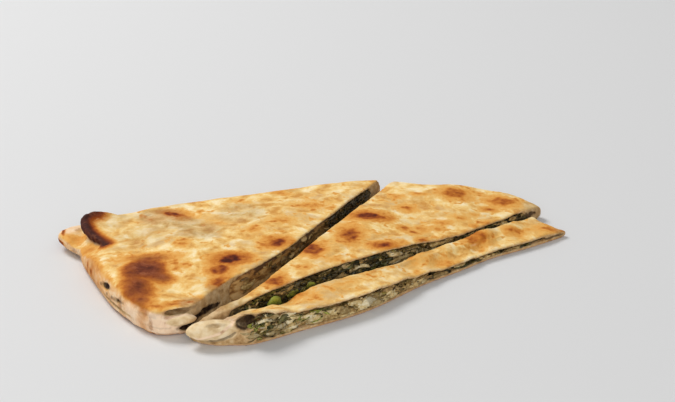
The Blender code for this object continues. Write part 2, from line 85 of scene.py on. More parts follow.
LEFT_POCKET = [
    (-62, -73), (-29.5, -61.5), (12, -44), (48, 22), (58, 40), (14, 36), (-25, 24), (-66, 10), (-77, 0),
    (-81, -14), (-77, -42), (-72, -64)]
MIDDLE_POCKET = [
    (-26, -96), (-6, -98), (36, -62), (92, -20), (100, 14), (92, 28), (70, 36), (46, 38), (16, 46), (-2, 26),
    (-34, -30), (-34, -76)]
FRONT_POCKET = [
    (-21, -93), (-18, -108), (4, -108), (52, -70), (96, -26), (106, 2), (92, 26), (60, 22), (10, -22),
    (-12, -58), (-13, -78), (-18, -86)]

# The knife's lines. What is cut away lies to the right of each line.
LEFT_CUT = [
    (-56, -98), (-50, -88.5), (-45, -81), (-39.5, -72.5), (-32.5, -63), (-24, -55), (-9, -33), (4.5, -6.5),
    (21, 26.5), (30, 43), (36, 56)]
MIDDLE_BACK_CUT = [
    (43, 58), (31, 34.5), (20, 12.5), (4, -20), (-10, -47), (-24, -72.5), (-32.5, -80), (-44, -86.5),
    (-54, -91.5)]
MIDDLE_FRONT_CUT = [
    (-54, -91), (-42, -89.5), (-30, -84.5), (-16, -72), (-4, -61), (24, -38), (49, -20), (76, 3), (102, 28),
    (112, 38)]
FRONT_BACK_CUT = [
    (110, 32), (98, 20), (75, -1), (49, -24), (24, -44), (-4, -66), (-20, -81), (-30, -87.5), (-40, -91),
    (-54, -92)]
FRONT_CUT = [
    (-56, -86), (-48.5, -91.5), (-41, -96.5), (-31, -97.5), (-21, -96), (-3, -84.5), (24, -66.5),
    (48, -41.5), (65, -26.8), (80, -13.4), (98, -1.6), (120, 15)]

# The crust's height above the table at places in plan: x, y, height.
LEFT_POSTS = [
    (-94, -5, 13.4), (-90, -13, 12.6), (-84, -3, 13.6), (-84, -30, 13), (-77, -60, 13), (-67, -80, 12),
    (-50, -80, 12), (-40, -70, 13), (-24, -58, 15), (-4, -27, 15), (18, 13, 14.5), (32, 38, 14), (0, 36, 14),
    (-30, 22, 14.5), (-60, 10, 14), (-50, -30, 15.5), (-20, 0, 15.5)]
MIDDLE_POSTS = [
    (-46, -89, 6), (-31, -84, 11.5), (-19, -74, 13), (-9, -65, 13), (-4, -52, 13.5), (10, -25, 14),
    (24, -38, 13), (20, 2, 13.5), (34, 34, 12.5), (55, 38, 12), (47, -21, 12.2), (58, -12, 9.8),
    (62, 8, 11.6), (68, -4, 8.2), (77, 3, 8.6), (88, 14, 8.3), (90, 30, 9.4), (102, 27, 7)]
FRONT_POSTS = [
    (-49, -90, 3.6), (-42, -95, 4.6), (-35, -96, 5.2), (-31, -97.5, 9), (-25, -97, 15), (-18, -94.5, 14.4),
    (-11, -90, 12.2), (-42, -87, 4.8), (-31, -88, 8.6), (-26.5, -86, 10.2), (-18, -79.5, 8.8),
    (-10, -72, 6.8), (-3, -84.5, 9.8), (-3, -65, 8.8), (3, -61, 10), (9, -72, 9.2), (24, -57, 9.2),
    (36, -50, 8), (48, -39, 6.2), (48, -26, 8.4), (58, -31, 4.8), (58, -18, 8.2), (66, -24, 4.8),
    (66, -10, 7.8), (75, -15.5, 3.8), (75, -3, 8.6), (85, -8, 4.2), (87, 9, 7), (97, 0, 4.2), (101, 10, 4.8),
    (114, 9, 3.4)]

# Blisters, and dents with a height below zero: x, y, half-length, half-width, turn, height.
LEFT_BLISTERS = [
    (-74, -55, 17, 11, -62, 1.5), (-46, -66, 10, 6, 20, 0.8), (-30, -38, 8, 5, 40, 0.7),
    (-62, -28, 12, 9, 10, 0.7), (-16, -10, 11, 8, 60, 0.6), (-52, 2, 14, 3, -35, -0.8),
    (4, 22, 10, 7, 30, 0.6)]
MIDDLE_BLISTERS = [
    (22, -6, 8, 6, 20, 0.8), (8, -36, 9, 6, 50, 0.8), (36, -24, 9, 6, 35, 0.7), (48, 30, 10, 5, 0, 0.7),
    (70, 22, 9, 6, -20, 0.6), (44, 4, 9, 6, 0, -0.5)]
FRONT_BLISTERS = [(8, -66, 9, 4, 40, 0.6), (36, -40, 9, 4, 40, 0.5), (62, -16, 8, 4, 40, 0.4)]

# The corner turned up over the tongue: points with heights, and the tube's radius along them.
CORNERED = "left_slice"
LIP_PATH = [
    (-83, 1, 13.2), (-90, 1.5, 14.2), (-96, 0, 14.6), (-98.8, -5, 14), (-97, -12, 12.8), (-93, -18.5, 12.2),
    (-88.2, -24.6, 12.2)]
LIP_RADII = (1.0, 1.8, 2.2, 2.4, 2.1, 1.5, 0.7)
LIP_INSIDE = (-84.0, -9.0)      # a place on the crust that the corner curls towards
CORNER = np.array((-96.0, -8.0, 32.0))      # its middle in plan, and the reach of its colours

# The valley under that corner, which runs down to the tongue: its outline in plan, the line that its
# rings close in on, the height of its rim, and the height of its floor at places in plan.
VALLEY = [
    (-94, 12), (-97, 4), (-98, -4), (-96.5, -12), (-93, -18.5), (-88.8, -24.5), (-87, -31), (-88, -44),
    (-94, -54), (-108, -42), (-118, -22), (-122, -4), (-118, 10), (-106, 18)]
VALLEY_SPINE = ((-108, 0), (-99, -30))
VALLEY_RIM, VALLEY_TOP, VALLEY_ROUNDING = 12.5, 30.0, 3.0
VALLEY_POSTS = [
    (-112, 0, 9), (-106, 4, 8.6), (-101, 6, 7.4), (-99.6, -4.3, 6.8), (-96.5, -11.9, 7.3), (-92.5, -20.6, 9),
    (-88.6, -26.5, 11.8), (-87, -31.5, 13.2), (-108, -8, 8), (-102.7, -12.7, 5.6), (-97.9, -23.5, 7.2),
    (-93.4, -31.0, 9.8), (-90, -36.5, 12.2), (-87.5, -41, 13.6), (-93, -48, 14)]
VALLEY_REACH = 3.0

# The lower layer that juts out there; its nose is lifted off the table.
TONGUE_SPINE = ((-104, -2), (-94, -4))
TONGUE_NOSE_X, TONGUE_ROOT_X = -112.0, -96.0
TONGUE_LOW, TONGUE_HIGH = (2.4, 0.4), (8.4, 7.2)        # at the nose and at the root
TONGUE_ROUNDING = 3.2
NOSE_MIDDLE = 6.6                                       # height of the pale middle of its nose

# Creases and holes as paths with radii: the crease between the layers in the left wall, the crevice
# at that slice's near end, the holes in its wall, and the crease under the front slice's knot.
WALL_CREASE = ([(-99, -28, 4.4), (-93, -43, 4.2), (-86, -58, 4.0), (-77, -74, 4.0), (-68, -86, 4.4)],
               (0.5, 1.0, 0.8, 1.0, 0.5))
CREVICE = ([(-54, -92, 4.0), (-49.8, -88.5, 3.5), (-47.2, -84.2, 3.7), (-44.4, -80.2, 5.2),
            (-40.8, -74.8, 5.6), (-37, -68.8, 5.2)], (0.8, 1.8, 1.5, 1.2, 1.7, 0.6))
WALL_HOLES = [([(-87.4, -54, 7.6), (-84.4, -59.6, 8.8), (-82.2, -63.6, 9.6)], (0.5, 1.3, 0.7)),
              ([(-84, -60.9, 6.1), (-83.2, -62.4, 6.4)], (0.6, 0.6)),
              ([(-81.6, -66, 6.8), (-78.9, -70.4, 7.3), (-76.2, -75, 8.2)], (0.5, 0.9, 0.5))]
END_CREASES = [([(-76, -75, 6.6), (-71.5, -79, 7.4), (-67, -84.6, 8.4), (-61.5, -88.4, 8.6),
                 (-56, -90.6, 8.0)], (0.3, 0.9, 0.7, 1.0, 0.4)),
               ([(-68.5, -84.5, 3.6), (-64, -88, 4.6), (-59.5, -90.4, 4.4), (-55.5, -90.8, 4.8)],
                (0.2, 0.5, 0.6, 0.3))]
KNOT_CREASE = ([(-43.5, -95.6, 2.6), (-41, -97, 2.4), (-37.5, -97.7, 2.4), (-34, -97.9, 3.1),
                (-31, -97.9, 4.3), (-29, -97.6, 6.2)], (0.5, 0.8, 0.8, 0.8, 0.7, 0.4))

# Toasted spots: x, y, half-length, half-width, turn, amount from 0 to 1. An amount near 0.3 is gold,
# 0.55 orange brown, 0.8 red brown and 1 burnt.
LEFT_SPOTS = [
    (-61, 4.5, 6, 3.2, -30, 0.85), (-70, -1.5, 4, 2.6, 0, 0.45), (-54.7, -31.4, 2, 2.6, 0, 0.55),
    (-53, -50, 2.4, 1.4, 0, 0.6), (-103, -8, 9, 5.5, 0, 0.30), (-95, -22, 7, 6, -40, 0.36),
    (-95, -42, 18, 3.0, -67, 0.75), (-87.6, -28, 1.3, 1.8, 0, 0.9), (-33.2, -46, 6, 4.2, 10, 1.0),
    (-37.2, -55, 4.2, 5, 0, 0.72), (-36.8, -65, 3.5, 5, 0, 0.72), (-13.8, -28.6, 4.4, 4.6, 0, 0.8),
    (-18.2, -32, 4, 4, 0, 0.45), (-13.2, 27.4, 2.8, 1.6, 0, 0.6), (-32.3, 17.4, 4, 1.6, 0, 0.35),
    (0, 12.3, 7, 3.6, 0, 0.4), (-11.9, -6.4, 5, 4, 0, 0.35), (-24, -15.6, 3, 3.6, 0, 0.4),
    (-41, -7.3, 3.4, 3, 0, 0.35), (-62, -85.2, 4, 1.6, 0, 0.75), (-54.7, -84, 4, 1.5, 0, 0.75),
    (-47.6, -80.8, 4, 1.5, 30, 0.62)]
MIDDLE_SPOTS = [
    (1, -33, 5.5, 6, 0, 0.72), (-14, -63, 4.5, 4, 40, 0.7), (-1.6, -51.7, 2.3, 2.1, 0, 0.5),
    (26, 3.2, 7.5, 4.2, 0, 0.8), (17.3, -17.4, 4.4, 8, 0, 0.7), (32.5, -27.4, 5, 3, 0, 0.85),
    (41.5, -5.5, 2.6, 2.7, 0, 0.6), (44.7, -9.5, 2.6, 2.5, 0, 0.55), (49, -4.4, 2.6, 2.5, 0, 0.5),
    (49.3, -18.3, 2.6, 2.2, 0, 0.68), (39.6, -23, 2.6, 2.5, 0, 0.45), (43, 16, 3.4, 2.8, 0, 0.58),
    (50, 30.7, 3.6, 1.5, 0, 0.55), (38.4, 27.8, 2.6, 1.5, 0, 0.45), (10.5, -42.6, 3, 2.5, 0, 0.4),
    (66, 34, 6.5, 6, 0, 0.6), (76.4, 38.2, 2.6, 1.6, 0, 0.5), (86.7, 30, 6.5, 5, 0, 0.58),
    (80.6, 20.8, 2.8, 1.8, 0, 0.68), (73.5, 13, 3, 1.8, 0, 0.42), (66.8, 8, 3, 2.4, 0, 0.42),
    (59, 2.5, 3, 1.6, 0, 0.6), (55.8, -3, 3, 1.8, 0, 0.5), (78.6, 5.5, 4, 2.5, 0, 0.42)]
FRONT_SPOTS = [
    (15, -58, 9, 2.2, 35, 0.3), (-4, -68, 6, 3, 40, 0.4), (72.5, -6.7, 6.5, 5.5, 0, 0.54),
    (57.5, -28.3, 5, 3.6, 0, 0.42), (65.2, -28, 2, 2.4, 0, 0.4), (91, 3.3, 3.6, 2.4, 0, 0.66),
    (97.3, 8, 2, 1.2, 0, 0.5), (108.2, 9.5, 5, 3.6, 0, 0.55), (116, 10, 3, 6, 0, 0.85),
    (46.7, -40.3, 2.6, 2.4, 0, 0.3), (2.5, -70.6, 2.6, 3, 0, 0.45), (45, -31.7, 3.4, 3.6, 0, 0.3)]
# The burnt patch, likewise.
BURNS = [
    (-68, -43.5, 7.5, 3.0, 2, 0.62), (-68.5, -54, 7.5, 8.5, -20, 1.0), (-62, -60.5, 4.5, 3.6, -15, 0.8),
    (-70.5, -70, 4.6, 9, 10, 0.9), (-68, -80, 3.2, 4.5, 20, 0.8)]

# Ellipsoids: centre, half-sizes, turn about Z.
NEAR_SLOT = ((-52.5, -87, 10.4), (9.5, 5.0, 0.8), 19)
NEAR_FOLD = ((-51.8, -88.2, 7.3), (7.4, 3.4, 2.0), 15)
KNOT = ((-38.2, -95.9, 6.4), (11.0, 4.7, 4.1), 10)
CURL_HOLLOW = ((-24.6, -96.8, 10.5), (4.2, 5.5, 3.2), 10)
KNOT_DENT = ((-36.6, -98.7, 9.7), (4.2, 1.4, 0.8), 12)      # shallow, only in the looks


@dataclass
class Face:
    """Filling along one stretch of a cut: pieces for each square millimetre, and their tones."""
    line: list
    span: tuple
    leaves: float
    crumbs: float
    smears: float
    strings: float
    tones: tuple                    # of the cheese, from 0, soaked, to 1, white
    greens: tuple = (0.0, 0.78)     # of the leaves, from 0, black green, to 1, bright
    brown: float = 0.1              # how brown the leaves are


@dataclass
class Slice:
    """One slice: its dough, its cuts, its filling and the places that its paint goes by."""
    name: str
    dough: list
    spine: tuple
    pocket: list
    pocket_spine: tuple
    posts: list
    blisters: list
    cuts: list
    spots: list
    faces: list
    seed: int
    voxel: float                    # how fine the dough's mesh is
    post_reach: float
    wave: float                     # where its slow waves start in the noise
    rounding: float
    side: float                     # height of the fold's widest place, as a share of the crust's
    recess: float                   # how far behind the knife cut the core stops
    lumps: float                    # how lumpy the core is
    light: float                    # how light and brown the core is
    tight: tuple = ()               # where the fold is tighter: x, y, reach, radius
    gathered: tuple = ()            # dough gathered into folds
    hollows: tuple = ()             # hollows and grooves, each with how dark its painted shade is, from 0 to 1
    grooves: tuple = ()
    gaps: tuple = ()                # painted shade where the layers part at the thin ends; not carved
    pale: tuple = ()                # crust that stayed pale: x, y, reach, strength
    dull: tuple = ()                # painted shade, greyish brown, on the dough, likewise
    plain: tuple = ()               # crust without freckles, likewise
    big_leaves: tuple = ()          # that show best: cut, length along it, height, length, width, tone
    big_lumps: tuple = ()           # of cheese, likewise, with half its length and half its width


SLICES = [
    Slice("left_slice", LEFT_DOUGH, ((-74, -44), (2, 16)), LEFT_POCKET, ((-70, -44), (2, 14)),
          LEFT_POSTS, LEFT_BLISTERS, [LEFT_CUT], LEFT_SPOTS,
          [Face(LEFT_CUT, (48, 68), 0.03, 0.0, 0.0, 0.01, (0.1, 0.5), (0.45, 0.9), 1.0),
           Face(LEFT_CUT, (66, 120), 0.12, 0.0, 0.0, 0.01, (0.0, 0.5), (0.3, 0.85), 0.95),
           Face(LEFT_CUT, (118, 157), 0.40, 0.0, 0.0, 0.01, (0.0, 0.3), (0.0, 0.38), 0.6)],
          seed=11, voxel=0.69, post_reach=9.0, wave=0.0, rounding=7.0, side=0.4,
          recess=0.9, lumps=0.4, light=1.0,
          tight=[(-99, -8, 26, 2.6), (-56, -91, 18, 3.6), (-88, -52, 34, 4.5)],
          gathered=[NEAR_FOLD], hollows=[(NEAR_SLOT, 0.35)],
          grooves=[(CREVICE, 1.0), (WALL_CREASE, 0.25), *((hole, 1.0) for hole in WALL_HOLES),
                   *((crease, 0.4) for crease in END_CREASES)],
          pale=[(-108, 3, 9, 0.8), (-60, -86, 14, 1.0), (-71, -84, 12, 0.9)],
          dull=[(-47, -83, 7, 0.8), (-38, -72, 6, 0.6), (-87.6, -1.7, 11, 0.4), (-66.7, 1, 13, 0.75),
                (-57, -6, 11, 0.7), (-48, -16, 13, 0.65), (-31, 3, 15, 0.5), (-70, -18, 18, 0.35)],
          plain=[(-102, -14, 26, 1.0), (-92, -52, 14, 1.0)]),
    Slice("middle_slice", MIDDLE_DOUGH, ((-14, -64), (62, 14)), MIDDLE_POCKET, ((-10, -62), (62, 12)),
          MIDDLE_POSTS, MIDDLE_BLISTERS, [MIDDLE_BACK_CUT, MIDDLE_FRONT_CUT], MIDDLE_SPOTS,
          [Face(MIDDLE_BACK_CUT, (22, 150), 0.36, 0.03, 0.05, 0.02, (0.0, 0.6)),
           Face(MIDDLE_FRONT_CUT, (26, 76), 0.56, 0.01, 0.01, 0.02, (0.2, 0.6), (0.05, 0.8), 0.3),
           Face(MIDDLE_FRONT_CUT, (74, 114), 0.44, 0.03, 0.02, 0.05, (0.2, 0.9), (0.0, 0.55), 0.2),
           Face(MIDDLE_FRONT_CUT, (112, 152), 0.42, 0.03, 0.12, 0.05, (0.3, 0.8), (0.3, 1.0), 0.5),
           Face(MIDDLE_FRONT_CUT, (150, 192), 0.46, 0.02, 0.04, 0.02, (0.1, 0.5), (0.0, 0.6), 0.3)],
          seed=12, voxel=0.62, post_reach=9.0, wave=31.0, rounding=5.0, side=0.4,
          recess=1.7, lumps=1.0, light=0.1,
          gaps=[(([(95, 20, 4.4), (99, 24, 4.5), (102.5, 27.6, 4.2)], (1.6, 1.5, 0.8)), 0.9)],
          pale=[(-42, -90, 14, 0.5)], dull=[(-34, -85, 13, 0.9), (-45, -90, 8, 0.7), (103, 29, 8, 0.7)],
          big_leaves=[(MIDDLE_FRONT_CUT, 46.5, 6.6, 8.0, 6.0, 1.15),
                      (MIDDLE_FRONT_CUT, 40, 4.6, 4.0, 2.6, 0.9),
                      (MIDDLE_FRONT_CUT, 65.5, 8.6, 5.0, 3.4, 0.9),
                      (MIDDLE_FRONT_CUT, 56, 8.0, 5.4, 3.4, 0.75)]),
    Slice("front_slice", FRONT_DOUGH, ((-34, -90), (98, 8)), FRONT_POCKET, ((-14, -84), (88, 0)),
          FRONT_POSTS, FRONT_BLISTERS, [FRONT_BACK_CUT, FRONT_CUT], FRONT_SPOTS,
          [Face(FRONT_BACK_CUT, (22, 140), 0.32, 0.04, 0.06, 0.03, (0.1, 0.8)),
           Face(FRONT_CUT, (36, 72), 0.34, 0.02, 0.10, 0.18, (0.3, 0.9), (0.3, 1.0), 0.25),
           Face(FRONT_CUT, (70, 132), 0.26, 0.0, 0.20, 0.04, (0.1, 0.75), (0.3, 1.0), 0.7),
           Face(FRONT_CUT, (130, 192), 0.42, 0.0, 0.12, 0.02, (0.0, 0.35), (0.05, 0.65), 0.35)],
          seed=13, voxel=0.5, post_reach=3.5, wave=57.0, rounding=4.0, side=0.42,
          recess=1.5, lumps=0.8, light=0.8,
          gathered=[KNOT], hollows=[(CURL_HOLLOW, 0.95), (KNOT_DENT, 0.22)], grooves=[(KNOT_CREASE, 0.6)],
          gaps=[(([(103, 2.4, 2.2), (108, 6, 2.0), (113, 10, 1.8)], (0.5, 0.5, 0.4)), 0.8)],
          pale=[(-38, -95, 13, 1.0), (-25, -94, 7, 0.8)],
          dull=[(-42, -88, 10, 0.7), (-29, -88, 7, 0.6), (114, 10, 6, 0.6)],
          big_lumps=[(FRONT_CUT, 93, 4.8, 6.4, 2.6, 0.95), (FRONT_CUT, 150, 3.4, 3.6, 1.4, 0.5)]),
]

# How fine the forms are: steps between two points of a curve, and points round and across a pillow.
OUTLINE_STEPS, TUBE_STEPS, BLADE_STEPS = 12, 8, 6
DOUGH_GRID, POCKET_GRID, TONGUE_GRID, VALLEY_GRID = (360, 36), (240, 24), (96, 12), (120, 16)
EDGE_STEPS, TUBE_SIDES, CUTTER_FINENESS = 8, 16, 4
WIDEST_BEND, PILLOW_REACH = 0.6, 0.97       # of the way from a pillow's outline to its spine
DOUGH_SMOOTHING, CORNER_SMOOTHING = 5, 45   # rounds
CORE_VOXEL = 0.9

# Waves in the dough and ragged rims of paint: where they start in the noise, height, span, layers.
SKIN_WAVES, SKIN_GRAIN, SOFT_WAVES = (0, 0.22, 6.0, 3), (50, 0.10, 1.8, 2), (130, 1.1, 6.0, 3)
TORN_WAVES, TORN_HEIGHT, HOLLOW_HEIGHT = (90, 1.0, 2.6, 2), 0.30, 0.8
WALL_SHARE = 0.5                            # of the skin's waves, on the walls
SPOT_BREAKS, BURN_RIM, HOLLOW_RIM = (200, 0.4, 3.2, 2), (9, 2.4, 6.5, 2), (170, 0.2, 2.6, 2)
SPOT_STRAYS = ((40, 2.8, 6.0), (60, 1.0, 2.6))     # likewise, in plan
CORE_WAVES, CORE_FLATTENED = (0, 0.7, 2.6, 3), (0.6, 0.6, 1.0)
BOX_MARGIN = 0.02                           # inside the box of the solids

# Where the skin ends below the uncut surface, in mm, and where tops, walls and burns end, by how far
# the surface faces up; the waves die out at the table.
SKIN_FADE, TOP_FADE, WALL_FADE, UPWARD_FADE = (0.75, 0.25), (0.2, 0.8), (0.62, 0.25), (0.15, 0.7)
TABLE_FADE = (0.0, 0.6)
# Gathered dough and the painted shade of hollows, by the share of their size; a hollow's rim gets painted
# shade too.
BULGE_INSIDE, BULGE_OUTSIDE, CORE_HOLLOW_FADE = (0.86, 0.96), (1.22, 1.08), (1.3, 1.0)
HOLLOW_FADE, HOLLOW_RIM_FADE, HOLLOW_RIM_SHARE = (1.2, 0.98), (1.35, 1.0), 0.5
# The turned-up corner: distances from its roll, offsets towards the crust, shares of its length.
SOFT_OFFSET, SOFT_REACH = (-1.0, 1.5), (9.0, 4.0)
CHAR_LENGTH, CHAR_BEYOND, CHAR_OFFSET = (0.10, 0.40), (1.6, 0.2), (2.6, 0.2)
BROWN_LENGTH, BROWN_REACH, NOSE_RING = (0.05, 0.28), (7.0, 1.4), (0.6, 1.1)

# Spots: how strong their cores and halos are, and how far those fade out, in mm.
CORE_STRENGTH, CORE_FADE, HALO_STRENGTH = 1.06, (-2.4, 2.6), 0.52
UNBROKEN, MOST_BROKEN = 0.9, 1.15
HALO_LEAST, HALO_GROWTH, HALO_MOST, HALO_INNER = 1.5, 1.3, 7.0, 0.5
BURN_FADE, BURN_TOAST, BURN_TOAST_FADE = (-1.8, 4.0), 0.68, (-6.5, 0.5)
WALL_BURN = 0.3                             # how much of the burn's browning runs down the wall
CORNER_TOAST, NOSE_TOAST, NOSE_TIP = 0.80, 0.70, (-107.6, -109.4)
LIP_ABOVE, BROWN_ABOVE = 9.5, 11.0          # heights from which the corner is softened and browned
PALE_TOP, PALE_FADE = 11.2, 1.4             # the crust itself lies higher and is toasted
GROOVE_MARGIN = 4.0


# Numbers ---------------

def smoothstep(low, high, value):
    t = np.clip((value - low) / (high - low), 0.0, 1.0)
    return t * t * (3 - 2 * t)


class Noise:
    """Gradient noise, about -0.7 to 0.7, the same for the same seed."""
    CELLS, LAYER_SHIFT = 256, 17.3

    def __init__(self, seed):
        rng = np.random.default_rng(seed)
        self.table = np.tile(rng.permutation(self.CELLS), 2)
        gradients = rng.normal(size=(self.CELLS, 3))
        self.gradients = gradients / np.linalg.norm(gradients, axis=1, keepdims=True)

    def __call__(self, points, span):
        """Values at points, with waves of about that span."""
        p = np.asarray(points, float) / span
        cell = np.floor(p).astype(int)
        f = p - cell
        last = self.CELLS - 1
        cell &= last
        u = f ** 3 * (f * (f * 6 - 15) + 10)
        total = np.zeros(len(p))
        for corner in itertools.product((0, 1), repeat=3):
            i, j, k = ((cell[:, a] + corner[a]) & last for a in range(3))
            g = self.gradients[self.table[self.table[self.table[i] + j] + k]]
            weight = np.ones(len(p))
            for a in range(3):
                weight *= u[:, a] if corner[a] else 1 - u[:, a]
            total += weight * ((f - corner) * g).sum(1)
        return total

    def waves(self, points, start, height, span, layers):
        """Several noises, each half as high and half as long as the one before."""
        return height * sum(self(points + start + self.LAYER_SHIFT * k, span / 2 ** k) / 2 ** k
                            for k in range(layers))


CRUMPLE_NOISE = Noise(CRUMPLE_SEED)


def seen_from(x, y, turn, points):
    """Points in plan as a turned place sees them: along it and across it."""
    c, s = math.cos(math.radians(turn)), math.sin(math.radians(turn))
    across, along = points[:, 1] - y, points[:, 0] - x
    return along * c + across * s, across * c - along * s


def through(points, closed, steps):
    """A smooth curve through a few points (Catmull-Rom)."""
    pts = np.array(points, float)
    if closed:
        pts = np.vstack((pts[-1], pts, pts[:2]))
    else:
        pts = np.vstack((2 * pts[0] - pts[1], pts, 2 * pts[-1] - pts[-2]))
    t = (np.arange(steps) / steps)[:, None]
    runs = []
    for a, b, c, d in zip(pts, pts[1:], pts[2:], pts[3:]):
        runs.append(0.5 * (2 * b + (c - a) * t + (2 * a - 5 * b + 4 * c - d) * t ** 2
                           + (3 * b - a - 3 * c + d) * t ** 3))
    curve = np.vstack(runs)
    return curve if closed else np.vstack((curve, pts[-2]))


def step_lengths(curve):
    return np.linalg.norm(np.diff(curve, axis=0), axis=1)


def at_lengths(curve, targets):
    """Places at lengths along a curve."""
    lengths = np.concatenate(([0.0], np.cumsum(step_lengths(curve))))
    return np.stack([np.interp(targets, lengths, curve[:, k]) for k in range(curve.shape[1])], axis=1)


def evenly(curve, count):
    """A closed curve as points at equal distances."""
    loop = np.vstack((curve, curve[:1]))
    return at_lengths(loop, np.arange(count) / count * step_lengths(loop).sum())


def nearest_on(segment, points):
    a, b = np.array(segment[0], float), np.array(segment[1], float)
    along = np.clip((points - a) @ (b - a) / ((b - a) @ (b - a)), 0.0, 1.0)
    return a + along[:, None] * (b - a)


# Heights ---------------

def flat(height):
    return lambda xy: np.full(len(xy), float(height))


def post_height(posts, reach, xy):
    """Height of a surface between its posts, each weighted by how near it is."""
    total = np.zeros(len(xy))
    weights = np.zeros(len(xy))
    for px, py, pz in posts:
        weight = ((xy[:, 0] - px) ** 2 + (xy[:, 1] - py) ** 2 + reach ** 2) ** -2
        total += weight * pz
        weights += weight
    return total / weights


def crust_height(slice_, xy):
    """Height of the crust over places in plan: posts, blisters and slow waves."""
    height = post_height(slice_.posts, slice_.post_reach, xy)
    for x, y, half_length, half_width, turn, rise in slice_.blisters:
        u, v = seen_from(x, y, turn, xy)
        u, v = u / half_length, v / half_width
        height += rise * np.exp(-(u * u + v * v) * BLISTER_FALL)
    waves = np.column_stack((xy, np.full(len(xy), slice_.wave)))
    return height + CRUMPLE * CRUMPLE_NOISE(waves, CRUMPLE_SPAN)


def room(slice_, xy, gap):
    """Lowest and highest place between the two layers of dough, less a gap."""
    low = np.full(len(xy), BOTTOM_SHEET + gap)
    high = np.maximum(crust_height(slice_, xy) - TOP_SHEET, BOTTOM_SHEET + THINNEST_POCKET) - gap
    return low, high


def fold_radius(slice_, xy):
    radius = np.full(len(xy), slice_.rounding)
    for px, py, reach, tight in slice_.tight:
        share = np.clip(1 - np.hypot(xy[:, 0] - px, xy[:, 1] - py) / reach, 0, 1)
        radius += (tight - radius) * np.minimum(1.0, 2 * share)
    return radius


# Meshes ---------------

def framed(points):
    """Points of the plan, in millimetres, as metres of the frame."""
    return (np.asarray(points) - PLAN_CENTRE) * MM


def linked(name, data):
    thing = bpy.data.objects.new(name, data)
    bpy.context.scene.collection.objects.link(thing)
    return thing


def new_object(name, points, faces):
    """A mesh object from points in plan millimetres and faces with equally many corners."""
    mesh = bpy.data.meshes.new(name)
    faces = np.asarray(faces, np.int32)
    mesh.vertices.add(len(points))
    mesh.loops.add(faces.size)
    mesh.loops.foreach_set("vertex_index", faces.ravel())
    mesh.polygons.add(len(faces))
    mesh.polygons.foreach_set("loop_start", np.arange(0, faces.size, faces.shape[1], dtype=np.int32))
    thing = linked(name, mesh)
    set_points(thing, points)
    mesh.update(calc_edges=True)
    return thing


def from_bmesh(bm, name):
    bmesh.ops.recalc_face_normals(bm, faces=bm.faces)
    mesh = bpy.data.meshes.new(name)
    bm.to_mesh(mesh)
    bm.free()
    return linked(name, mesh)


def read(items, name, size, kind=np.float32):
    values = np.empty(len(items) * size, kind)
    items.foreach_get(name, values)
    return values.reshape(-1, size)


def points_of(thing):
    """A mesh's points in plan millimetres."""
    return read(thing.data.vertices, "co", 3).astype(float) / MM + PLAN_CENTRE


def set_points(thing, points):
    thing.data.vertices.foreach_set("co", framed(points).astype(np.float32).ravel())
    thing.data.update()


def normals_of(thing):
    return read(thing.data.vertices, "normal", 3).astype(float)


def smoothed(values, edges, rounds, amount=0.5):
    """Values spread to their neighbours a few times."""
    a, b = edges.T
    count = np.bincount(edges.ravel(), minlength=len(values))[:, None]
    for _ in range(rounds):
        sums = np.stack([np.bincount(a, v[b], len(v)) + np.bincount(b, v[a], len(v)) for v in values.T], 1)
        values = values + amount * (sums / count - values)
    return values


def store(thing, **layers):
    """Numbers for each point, which the materials read by name."""
    for name, values in layers.items():
        attribute = thing.data.attributes.new(name, "FLOAT", "POINT")
        attribute.data.foreach_set("value", np.asarray(values, np.float32))


def modify(thing, kind, **settings):
    """Applies a modifier to a mesh."""
    step = thing.modifiers.new(kind, kind)
    for name, value in settings.items():
        setattr(step, name, value)
    mesh = bpy.data.meshes.new_from_object(thing.evaluated_get(bpy.context.evaluated_depsgraph_get()))
    thing.modifiers.clear()
    old = thing.data
    thing.data = mesh
    bpy.data.meshes.remove(old)


def boolean(target, operation, cutter):
    modify(target, "BOOLEAN", operation=operation, solver="MANIFOLD", object=cutter)
    bpy.data.objects.remove(cutter, do_unlink=True)


def remesh(thing, voxel):
    modify(thing, "REMESH", mode="VOXEL", voxel_size=voxel * MM)


def lofted(name, rows, split_caps):
    """A closed form through rings of equally many points."""
    bm = bmesh.new()
    rows = [[bm.verts.new(p) for p in framed(row)] for row in rows]
    for low, high in zip(rows, rows[1:]):
        for i in range(len(low)):
            j = (i + 1) % len(low)
            bm.faces.new((low[i], low[j], high[j], high[i]))
    caps = [bm.faces.new(rows[0]), bm.faces.new(rows[-1])]
    if split_caps:
        bmesh.ops.triangulate(bm, faces=caps)
    return from_bmesh(bm, name)


def pillow(name, outline, spine, top, foot, side, rounding, grid):
    """A soft closed form whose rings run in from an outline to a spine, above and below."""
    around, across = grid
    loop = evenly(through(outline, True, OUTLINE_STEPS), around)
    centre = nearest_on(spine, loop)
    reach = np.linalg.norm(centre - loop, axis=1)
    bend = np.minimum(rounding(loop), WIDEST_BEND * reach)

    def ring(goal, angle, share):
        inward = bend * (1 - math.cos(angle)) + (reach - bend) * share
        xy = loop + (centre - loop) * (inward / reach)[:, None]
        low = side(xy)
        return np.column_stack((xy, low + (goal(xy) - low) * math.sin(angle)))

    def rings(goal):
        steps = [(math.pi / 2 * k / EDGE_STEPS, 0.0) for k in range(1, EDGE_STEPS + 1)]
        steps += [(math.pi / 2, PILLOW_REACH * k / across) for k in range(1, across + 1)]
        return [ring(goal, *step) for step in steps]

    return lofted(name, rings(foot)[::-1] + [ring(top, 0.0, 0.0)] + rings(top), True)


def unit_ball(fineness):
    bm = bmesh.new()
    bmesh.ops.create_icosphere(bm, subdivisions=fineness, radius=1.0)
    points = np.array([v.co for v in bm.verts])
    faces = np.array([[v.index for v in f.verts] for f in bm.faces])
    bm.free()
    return points, faces


